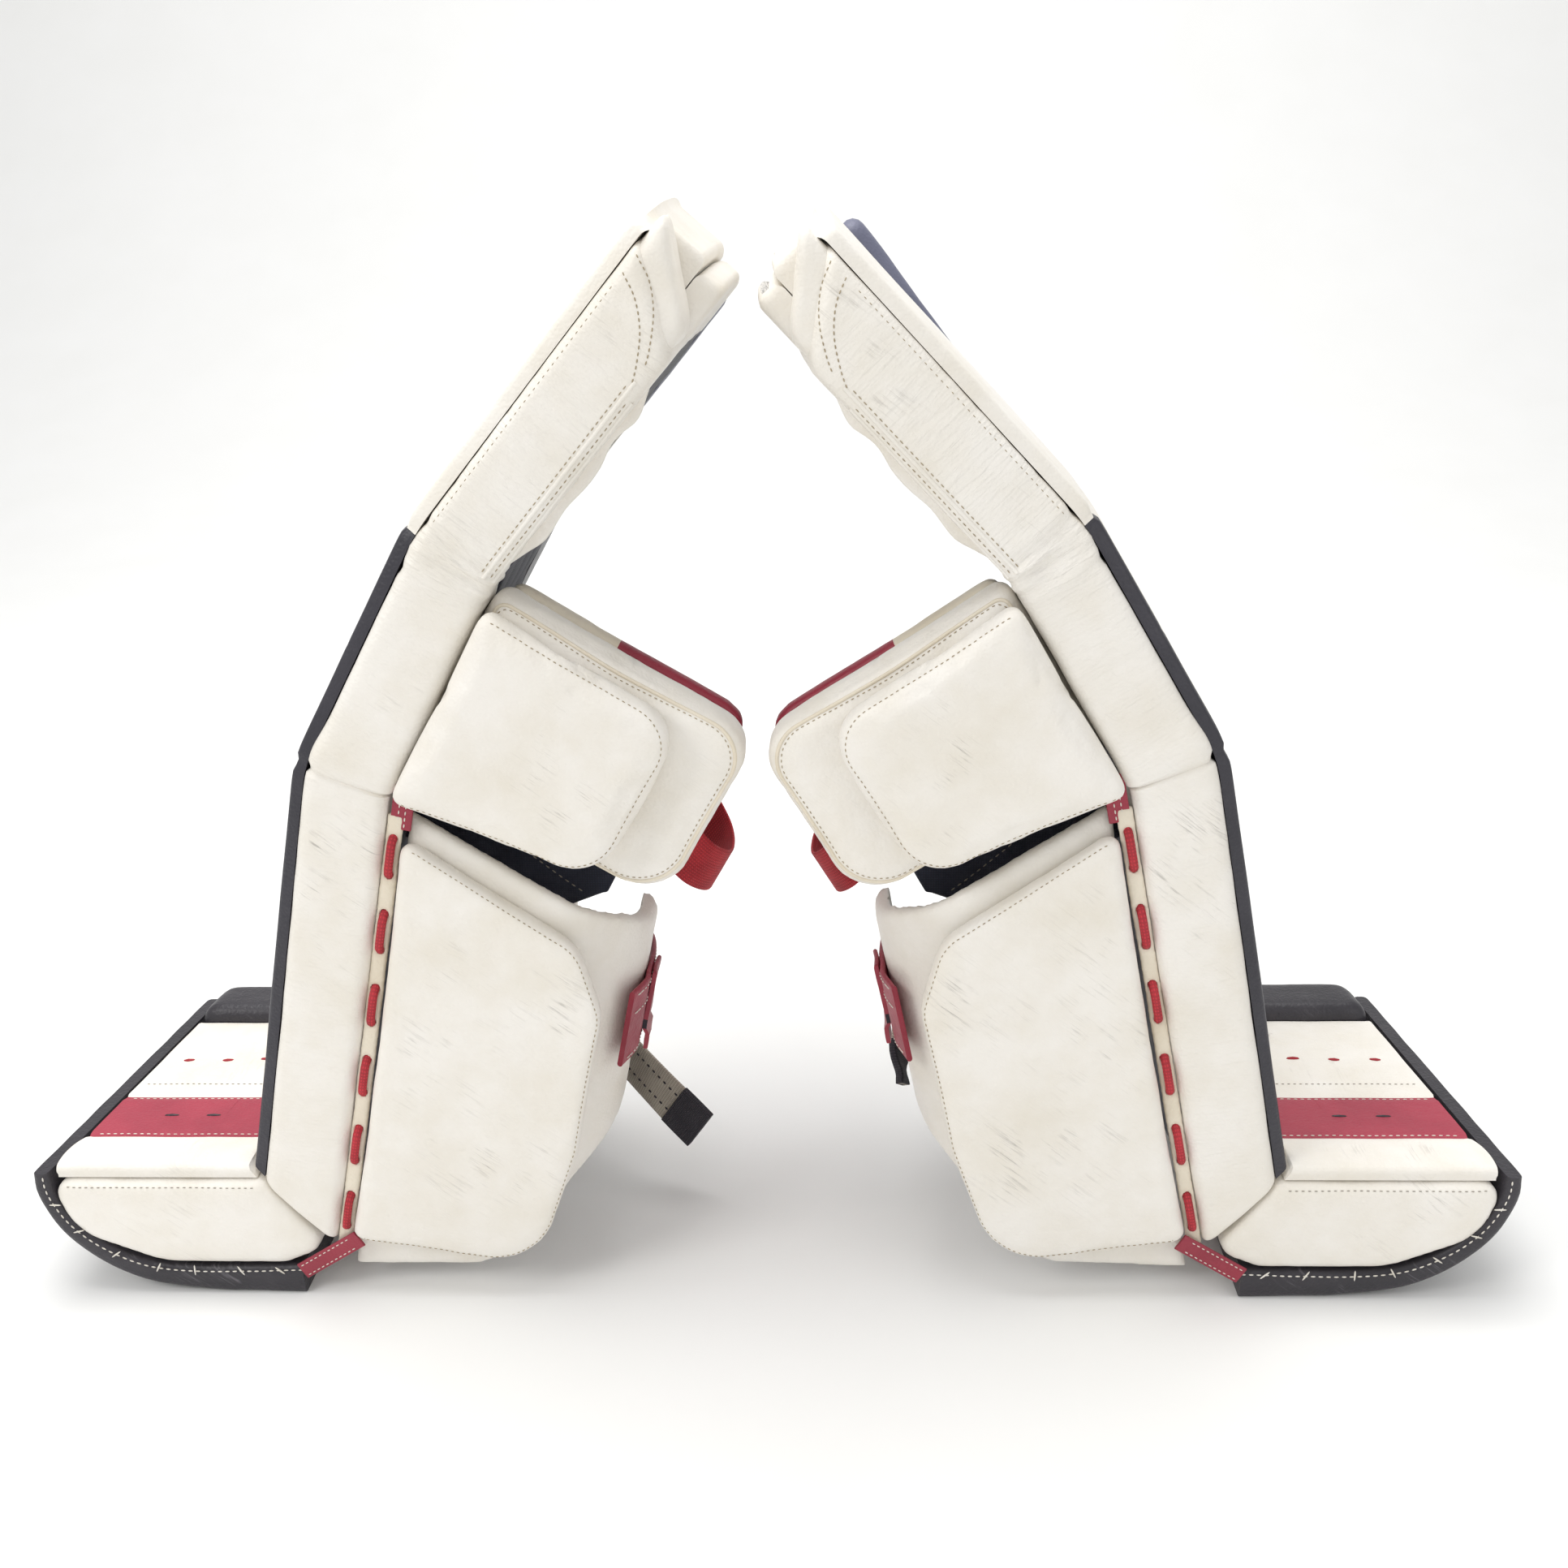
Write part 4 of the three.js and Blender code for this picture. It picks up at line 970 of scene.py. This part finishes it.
# %% [markdown]
# The landing pad is topstitched just inside its edge. The block's near face is bound to its
# gusset by a piped welt, with a row of stitches beside it. Between block and calf a navy skirt
# hangs from the knee, and a maroon tab ties the two lacings together.

# %% Topstitching, welt, skirt and tab
def loop(corners, depth, y, keep):
    """A line round a cushion, inside its edge, where keep(x, y, z) says so."""
    points = [(x, y, z) for x, z in inside(corners, depth)]
    return [p for p in points if keep(*p)]


for pad in PADS:
    knee = pad.rigid("knee")
    row = loop(hung(LANDING), 5.5, FLAP_Y, lambda x, y, z: x < FLAP_X - 9)
    sew(pad, "knee_flap_stitching", pad.landing, row, INNER, knee, 2.4, 1.8, 0.42)
    edge = loop(hung(BLOCK), 7.5, FLAP_Y, lambda x, y, z: x < FLAP_X - 5)
    finish(leather_cord(1.3, pad.block, edge, INNER, 0.2), pad, "block_welt", [CREAM], knee,
           "knee_flap")
    beside = loop(hung(BLOCK), 10.5, FLAP_Y, lambda x, y, z: x < FLAP_X - 5)
    sew(pad, "knee_flap_stitching", pad.block, beside, INNER, knee, 2.4, 1.8, 0.4)
    skirt = bar(rounded([(-62, 73), (-62, 76.4), (-222, 76.4, 1.6), (-222, 73, 1.6)], 5),
                -46, 60, 5, 2, 2)
    for v in skirt.verts:  # its lower corner is cut away behind
        v.co.z += 34 * smooth((-190 - v.co.x) / 34) * max(0, (60 - v.co.z) / 106)
    push(skirt, lambda x, y, z: 1.2 * ripple(x, y, z, 34))
    low = [(x, 60, 0.16 * (x + 82) + 3 * ripple(x, 0, 0, 40)) for x in range(-206, -74, 4)]
    sew(pad, "knee_skirt_stitching", skirt, low, INNER, knee, 3.6, 2.2, 0.55)
    finish(skirt, pad, "knee_skirt", [NYLON], knee, "knee")
    tab = bar(rounded([(-60.5, 5.6), (-60.5, 7.6), (-75, 7.6, 0.9), (-75, 5.6, 0.9)], 3),
              296, 330, 3, 1, 1)
    for x in (-65.5, -70):
        sew(pad, "knee_tab_stitching", tab, [(x, 0, s) for s in range(298, 329, 3)], INNER,
            pad.rigid("shin"), 3.0, 1.6, 0.5)
    finish(tab, pad, "knee_tab", [MAROON], pad.rigid("shin"), "shin")
print("flap stitching, welts, skirts and tabs made")

# %% [markdown]
# ## The calf flap
# A flat leather plate is laced to the shin and protects the inside of the calf. Behind it a
# padded wrap curls round the calf, and a maroon strap closes it.

# %% Calf plate, wrap and strap
CALF_X, CALF_Y = -69.6, -4
PLATE = [(0, -35, 8), (0, 294, 8), (-131, 238, 34), (-156, 190, 34), (-156, 74, 34),
         (-140, -29, 51)]


def strip_outline(width, thick):
    """The cross-section of a strap that stands on edge, with softly rounded sides."""
    return rounded([(-thick / 2, -width / 2, thick * 0.45), (thick / 2, -width / 2, thick * 0.45),
                    (thick / 2, width / 2, thick * 0.45), (-thick / 2, width / 2, thick * 0.45)],
                   4)


for pad in PADS:
    shin = pad.rigid("shin")
    corners = [(x + CALF_X, z, r) for x, z, r in PLATE]
    plate = swelled(cushion(corners, CALF_Y, CALF_Y + 14.4, 5, 3.2, 0.8, 1.2), 1.0)
    pad.plate = plate.copy()
    finish(plate, pad, "calf_plate_cushion", [WHITE], shin, "calf_flap",
           stands_for=["calf_plate"],
           wear=[(CALF_X - 40, CALF_Y, 150, 40, 0.8), (CALF_X - 125, CALF_Y, 190, 28, 1.0),
                 (CALF_X - 60, CALF_Y, 60, 40, 0.6), (CALF_X - 110, CALF_Y, 60, 34, 0.8),
                 (CALF_X - 20, CALF_Y, 220, 30, 0.6)])
    finish(softened(pad.side + "_calf_wrap", 3.2), pad, "calf_wrap_cushion", [WHITE],
           body="calf_flap", stands_for=["calf_wrap"])
    y, wrap, bend, reach = 15.3, 176, 52, 96
    out = 2.3
    route = [(-wrap + bend * 0.1, y + bend * 0.5), (-wrap - out, y + bend),
             (-wrap - out, y + reach * 0.7), (-wrap - out, y + reach),
             (-wrap + 2, y + reach + 30), (-wrap + 16, y + reach + 56)]
    line = curve([(x + CALF_X, across + CALF_Y, 160) for x, across in route])
    strap = sweep(strip_outline(62, 4), line, (0, 0, 1))
    for z in (133.5, 186.5, 171):
        row = [Vector((p.x, p.y, z)) for p in line[2:-2]]
        sew(pad, "calf_strap_stitching", strap, row, (1, 0, 0), shin, 3.2, 2.0, 0.6)
        sew(pad, "calf_strap_stitching", strap, row[:4], (0.7, 0.7, 0), shin, 3.2, 2.0, 0.6)
    finish(strap, pad, "calf_strap_leather", [MAROON], shin, "calf_flap",
           stands_for=["calf_strap"])
    tab = bar(rounded([(-wrap - 8.6, y + 62), (-wrap - 5.2, y + 62), (-wrap - 5.2, y + 92, 1.2),
                       (-wrap - 8.6, y + 92, 1.2)], 3), 126, 192, 4, 2, 2)
    for v in tab.verts:
        v.co.x += CALF_X + 1.4 * ripple(0, v.co.y, v.co.z, 22) + (0 if v.co.z > 140 else -2.5)
        v.co.y += CALF_Y
    finish(tab, pad, "calf_strap_hook_tab", [MAROON, HOOKS], shin, "calf_flap",
           paint=lambda x, y, z: int(z < 150 and x > CALF_X - wrap - 7))
    row = [(x, y, z) for x, y, z in loop(corners, 5, CALF_Y, lambda x, y, z: x < CALF_X - 8)]
    sew(pad, "calf_flap_stitching", pad.plate, row, INNER, shin, 2.4, 1.8, 0.42)
print("calf flaps made")

# %% [markdown]
# ## Lacing
# A round braided lace runs out and in through a leather strip along the shin roll, and holds the
# calf plate on. It is sewn in from end to end, not a free cord, so one sweep that swings in and
# out of the strip makes its whole length.

# %% Lace and lace strip
LACE_TOP, LACE_PITCH, LACE_COUNT = 290, 58, 6
LACE_STRIP_BACK, LACE_STRIP_Y = 5.5, 7.5  # the strip's middle, behind the roll and across it
SEAT = 0.3  # the gap between a piece and what carries it


def lace_line():
    """The lace's way down the strip, in flat waves with a quick turn at each hole."""
    x, y = -DEPTH - SEAT - LACE_STRIP_BACK, LACE_STRIP_Y
    reach = LACE_PITCH * (LACE_COUNT - 1) + LACE_PITCH / 2
    steps = LACE_COUNT * 16
    line = []
    for i in range(steps + 1):
        down = i / steps * reach
        wave = math.cos(2 * math.pi * (down - LACE_PITCH / 4) / LACE_PITCH)
        flat = math.tanh(3.2 * wave) / math.tanh(3.2)
        line.append(Vector((x, y - 5.8 * flat, LACE_TOP - down)))
    return line


for pad in PADS:
    lace = sweep(circle(3.0, 12), lace_line())
    finish(lace, pad, "shin_lace", [LACE], pad.rigid("shin"), "shin",
           stands_for=["calf_lace"])
    finish(softened(pad.side + "_lace_strip", 1.6, 2), pad, "lace_strip_leather", [CREAM],
           body="shin", stands_for=["lace_strip"])
print("laced")

# %% [markdown]
# ## Wings and straps
# On the outer side two short padded wings keep the leg in, and carry the straps. The knee strap
# is red webbing that loops behind the knee. The heel strap is a grey elastic with a hook end.

# %% Outer wings, knee strap and heel strap
WING_THICK, KNEE_STRAP_THICK, HEEL_STRAP_THICK = 20, 2.4, 3


def outside(route):
    """A smooth line through points measured from the pad's outer rear corner."""
    return curve([(x + FLAP_X, y + WIDTH, z) for x, y, z in route])


for pad in PADS:
    for wing in ("knee_wing", "calf_wing"):
        finish(softened(f"{pad.side}_{wing}"), pad, wing + "_cushion", [WHITE], body=wing,
               stands_for=[wing])
    y = -WING_THICK - KNEE_STRAP_THICK / 2 - SEAT
    route = [(-84, y, 62), (-140, y - 1, 46), (-192, y - 12, 26), (-232, y - 44, 10),
             (-240, y - 86, 6), (-222, y - 118, 14), (-196, y - 130, 26)]
    webbing = sweep(strip_outline(38, KNEE_STRAP_THICK), outside(route), (0, 0, 1))
    finish(webbing, pad, "knee_strap_webbing", [WEBBING], pad.rigid("knee"), "knee_wing",
           stands_for=["knee_strap"])
    y = -WING_THICK - HEEL_STRAP_THICK / 2 - SEAT
    standing = [(-58, y, 74), (-100, y - 2, 70), (-142, y - 24, 62), (-176, y - 62, 52),
                (-214, y - 92, 38), (-252, y - 112, 20)]
    hanging = [(-58, y, 104), (-104, y - 2, 104), (-150, y - 20, 100), (-184, y - 54, 88),
               (-198, y - 88, 66), (-200, y - 104, 44)]
    line = outside(hanging if pad.strap_hangs else standing)
    elastic = sweep(strip_outline(40, HEEL_STRAP_THICK), line, (0, 0, 1))
    for off in (-10, 9):
        row = [p + Vector((0, 0, off)) for p in line[8:-8]]
        sew(pad, "heel_strap_lines", elastic, row, (0.6, 0.8, 0), pad.rigid("shin"), 3.4, 3.4, 0.9)
    finish(elastic, pad, "heel_strap_elastic", [ELASTIC], pad.rigid("shin"), "calf_wing",
           stands_for=["heel_strap"])
    finish(sweep(strip_outline(41, 6.5), line[-9:], (0, 0, 1)), pad, "heel_strap_hook_end",
           [HOOKS], pad.rigid("shin"), "calf_wing")
print("wings and straps made")

# %% [markdown]
# ## The boot
# The boot covers the skate's toe. Its side panel and top are leather over foam, a ruby stripe
# runs along the top, and a black leather sole wraps up over the toe as a binding.

# %% Boot panels and sole
BOOT, SKEW_START, TOE_SKEW = 163, 60, 0.1
KEEL = [(-8, -73, 14), (81.5, -73, 60), (150, -45.3, 44)]
SOLE_LINE = [(-20, 0, -86), (20, 0, -86), (62, 0, -85), (100, 0, -79), (132, 0, -62),
             (155, 0, -38), (166, 0, -12), (167, 0, 6)]
SOLE_TOE, SOLE_HEEL = 0.9, 1.1  # its thickness, in parts of the toe binding's


def skewed(bm):
    """Slants the toe back towards the outer side of the foot."""
    for v in bm.verts:
        if v.co.x > SKEW_START:
            v.co.x -= max(0, v.co.y) * TOE_SKEW
    return bm


BANDS = [6, 50, 105, 231]  # edges of the near band, the stripe and the panel, across the foot


def boot_top(x, y, z):
    if z < 4:
        return 0.0
    near = 3.0 * max(0, 1 - ((y - 26) / 22) ** 2)
    seams = sum(hump(y, edge, 2.0) for edge in BANDS[1:])
    laces = hump(y, 165, 4) * abs(math.sin(math.pi * (x - 20) / 33)) ** 6
    return near - 1.6 * seams - 1.5 * laces + 0.4 * ripple(x, y, z, 30)


for pad in PADS:
    boot = pad.rigid("boot")
    slope = mitre(pad.leans[0], 2.5)
    cut = lambda z: z * slope + 1
    side = [(cut(-0.5), -0.5, 4), (cut(-58), -58, 12), *KEEL, (BOOT, -0.5, 12)]
    panel = skewed(cushion(side, 0, 45.6, 6, 3.2, 1.2, 0.5))
    pad.boot_side = panel.copy()
    finish(panel, pad, "boot_side_panel", [WHITE], boot, "boot", stands_for=["boot_edge"],
           wear=[(110, 0, -14, 20, 1.0), (60, 0, -40, 40, 0.3)])
    top = bar(rounded([(6, 0.4), (6, 9, 4), (230.6, 9, 1), (230.6, -60, 1), (46.4, -60, 1),
                       (46.4, 0.4)], 3), 2, BOOT - 7, 4)
    for v in top.verts:
        v.co = (v.co.z, v.co.x, v.co.y)
        w = max(0, 1 - (v.co.x - 2) / 60)
        v.co.x += w * (cut(v.co.z) + 3)
        v.co.z = max(v.co.z, -60 + max(0, v.co.x - 70) * 0.4) if v.co.z < 0 else v.co.z
    bmesh.ops.recalc_face_normals(top, faces=top.faces[:])
    push(top, boot_top)
    skewed(top)
    pad.boot_face = top.copy()
    finish(top, pad, "boot_face", [WHITE, RUBY], boot, "boot", stands_for=["boot_core"],
           paint=lambda x, y, z: int(BANDS[1] < y < BANDS[2]),
           wear=[(90, 30, 10, 40, 0.6), (60, 150, 9, 50, 0.3)])
    roll = [(cut(0) + 3, 0, 4), (cut(-58) + 3, -58, 12), *KEEL, (BOOT - 2, BOOT_RISE, 16),
            (BOOT_RISE + 14, BOOT_RISE, 10), (BOOT_RISE + 4, FACE_RISE, 8)]
    outer = skewed(cushion(roll, 231.2, 278.6, 9, 3.5, 1.2, 0.4))
    finish(outer, pad, "boot_outer_cushion", [BLACK], boot, "boot",
           stands_for=["boot_outer_roll"],
           wear=[(90, 255, 22, 60, 0.5)])
    rim = rounded([(-6, 0.4, 4), (6, 0.4, 4), (6, WIDTH - 0.4, 4), (-6, WIDTH - 0.4, 4)], 4)
    sole = sweep(rim, curve(SOLE_LINE, 5), (0, 1, 0), lambda t: SOLE_TOE + SOLE_HEEL * (1 - t))
    push(sole, lambda x, y, z: 0.5 * ripple(x, y, z, 26))
    pad.sole = skewed(sole).copy()
    finish(sole, pad, "boot_sole_leather", [BLACK], boot, "boot",
           stands_for=["boot_sole"],
           wear=[(x, 0, -90, 40, 0.9) for x in (10, 60, 120)])
print("boots made")

# %% [markdown]
# White thread binds the sole to the boot, with a cross stitch every finger's breadth. The top
# panels are topstitched, red lace ties the foam in, and black marks on the stripe are painted shade
# for its two slots. A maroon piece joins the heel to the leg.

# %% Boot thread, lace, slots and ankle piece
for pad in PADS:
    boot = pad.rigid("boot")
    binding = curve(SOLE_LINE, 5)
    run = lengths(binding)
    inner = []
    for i, at in enumerate(binding):
        along = (binding[min(i + 1, len(binding) - 1)] - binding[max(i - 1, 0)]).normalized()
        inward = Vector((-along.z, 0, along.x))
        half = 6 * (SOLE_TOE + SOLE_HEEL * (1 - i / (len(binding) - 1)))
        inner.append(at + inward * (half - 3.2))
    sew(pad, "boot_binding_stitching", pad.sole, inner, INNER, boot, 3.6, 2.0, 0.6)
    for far in range(12, int(run[-1]), 33):
        i = next(k for k, r in enumerate(run) if r >= far)
        to_middle = (Vector((60, 0, -20)) - inner[i]).normalized()
        cross = [inner[i] - to_middle * 2.5, inner[i] + to_middle * 8]
        row = [boot(p.x, -1.2, p.z) for p in cross]
        stitched(pad.sewing["boot_binding_stitching"], row, 9.5, 0.1, 0.7)
    above = (0, 0, -1)
    for y in (51.8, 103.4):
        sew(pad, "boot_top_stitching", pad.boot_face, [(x, y, 9) for x in range(8, 150, 4)],
            above, boot, 3.2, 2.0, 0.5)
    sew(pad, "boot_seam_stitching", pad.boot_face, [(x, 125, 9) for x in range(8, 146, 4)],
        above, boot, 2.4, 2.2, 0.4)
    sew(pad, "boot_seam_stitching", pad.boot_side, [(x, 0, -5) for x in range(8, 156, 4)],
        INNER, boot, 2.4, 2.2, 0.4)
    sew(pad, "boot_lace_ties", pad.boot_face, [(x, 165, 9) for x in range(14, 150, 3)],
        above, boot, 11, 22, 2.0, -0.2)
    # Black marks sunk into the stripe: painted shade in the openings of its two slots.
    sew(pad, "boot_stripe_slot_shade", pad.boot_face, [(x, 78, 9) for x in range(58, 120, 3)],
        above, boot, 13, 20, 1.5, -0.3)
    ankle = sweep(strip_outline(14, 2.2), [Vector((-20 - 2.7 * k, 1.2, -78 + 1.7 * k))
                                           for k in range(18)], (0.53, 0, 0.85))
    for off in (-4.5, 4.5):
        row = [(-22 - 2.7 * k + 0.53 * off, 0, -76.7 + 1.7 * k + 0.85 * off) for k in range(16)]
        sew(pad, "ankle_piece_stitching", ankle, row, INNER, boot, 2.6, 1.6, 0.45)
    finish(ankle, pad, "ankle_piece", [MAROON], boot, "boot")
print("boots sewn")

# %% [markdown]
# ## Thread
# The rows were gathered by the part of the pad that they are sewn into. Now each group becomes
# one piece, in its own thread, and rides on the body of the leather under it, or stays where it
# stands where that leather crosses a break.

# %% The stitching, group by group
# For each group: its thread, and either the body it rides on or the break it bends across.
GROUPS = {"upper_roll_stitching": (SEAM, None, UPPER), "upper_lining_stitching": (THREAD, None,
          UPPER), "knee_flap_stitching": (SEAM, "knee_flap", None),
          "knee_skirt_stitching": (GREY_THREAD, "knee", None),
          "knee_tab_stitching": (THREAD, "shin", None),
          "heel_strap_lines": (HOOKS, "calf_wing", None),
          "calf_strap_stitching": (THREAD, "calf_flap", None),
          "calf_flap_stitching": (SEAM, "calf_flap", None),
          "boot_binding_stitching": (THREAD, "boot", None),
          "boot_top_stitching": (THREAD, "boot", None),
          "boot_seam_stitching": (GREY_THREAD, "boot", None),
          "boot_lace_ties": (LACE, "boot", None), "boot_stripe_slot_shade": (BLACK, "boot", None),
          "ankle_piece_stitching": (THREAD, "boot", None)}
for pad in PADS:
    for group, bm in pad.sewing.items():
        thread, body, blend = GROUPS[group]
        print(pad.side, group, len(bm.faces) // 24, "stitches")
        finish(bm, pad, group, [thread], body=body, blend=blend, sharp=180)

# %% [markdown]
# ## Floor and light
# A pale floor and large soft lights keep the white leather light without hiding its grain.

# %% Studio
FLOOR, tree, shader = new_material("pale_studio_floor", roughness=0.9)
specks = add(tree, "TexNoise", {"Vector": add(tree, "TexCoord").outputs["Object"],
                                "Scale": 6.0, "Detail": 2.0})
pale = add(tree, "MixRGB", {"Fac": specks.outputs["Fac"], "Color1": linear("F8F8F7"),
                            "Color2": linear("F4F4F2")})
tree.links.new(pale.outputs["Color"], shader.inputs["Base Color"])
WALL_AT, WALL_CURVE = 2.0, 2.6  # m behind the pads, and the radius of the turn
CURVE_LENGTH = 4.08  # m of floor that the turn takes up
bm = bmesh.new()
bmesh.ops.create_grid(bm, x_segments=8, y_segments=60, size=6)
for v in bm.verts:  # the floor turns up into a wall behind, with no corner to see
    back = v.co.y - WALL_AT
    if back > 0:
        turned = min(back / WALL_CURVE, math.pi / 2)
        v.co.y = WALL_AT + WALL_CURVE * math.sin(turned)
        v.co.z = WALL_CURVE * (1 - math.cos(turned)) + max(0, back - CURVE_LENGTH)
mesh = bpy.data.meshes.new("floor")
bm.to_mesh(mesh)
bm.free()
mesh.shade_smooth()
mesh.materials.append(FLOOR)
floor = bpy.data.objects.new("floor", mesh)
scene.collection.objects.link(floor)


def soft_light(name, place, target, size, watts, tint=(1, 1, 1)):
    data = bpy.data.lights.new(name, "AREA")
    data.energy, data.size, data.color = watts, size, tint
    lamp = bpy.data.objects.new(name, data)
    lamp.location = place
    lamp.rotation_euler = (Vector(target) - Vector(place)).to_track_quat("-Z", "Y").to_euler()
    scene.collection.objects.link(lamp)


soft_light("overhead", (-0.3, 0.1, 2.4), (0, 0, 0.3), 1.6, 28)
soft_light("front_left", (-1.9, -1.6, 2.0), (0, 0, 0.35), 1.0, 22, (1, 0.99, 0.975))
soft_light("front_right", (2.0, -1.8, 1.2), (0, 0, 0.35), 1.6, 8)
soft_light("backdrop", (0, 1.4, 3.2), (0, 3.6, 0.9), 3.0, 55)
scene.world = bpy.data.worlds.new("studio")
scene.world.use_nodes = True
sky = scene.world.node_tree.nodes["Background"]
sky.inputs["Color"].default_value = (1, 1, 1, 1)
sky.inputs["Strength"].default_value = 0.62
scene.view_settings.view_transform = "Standard"
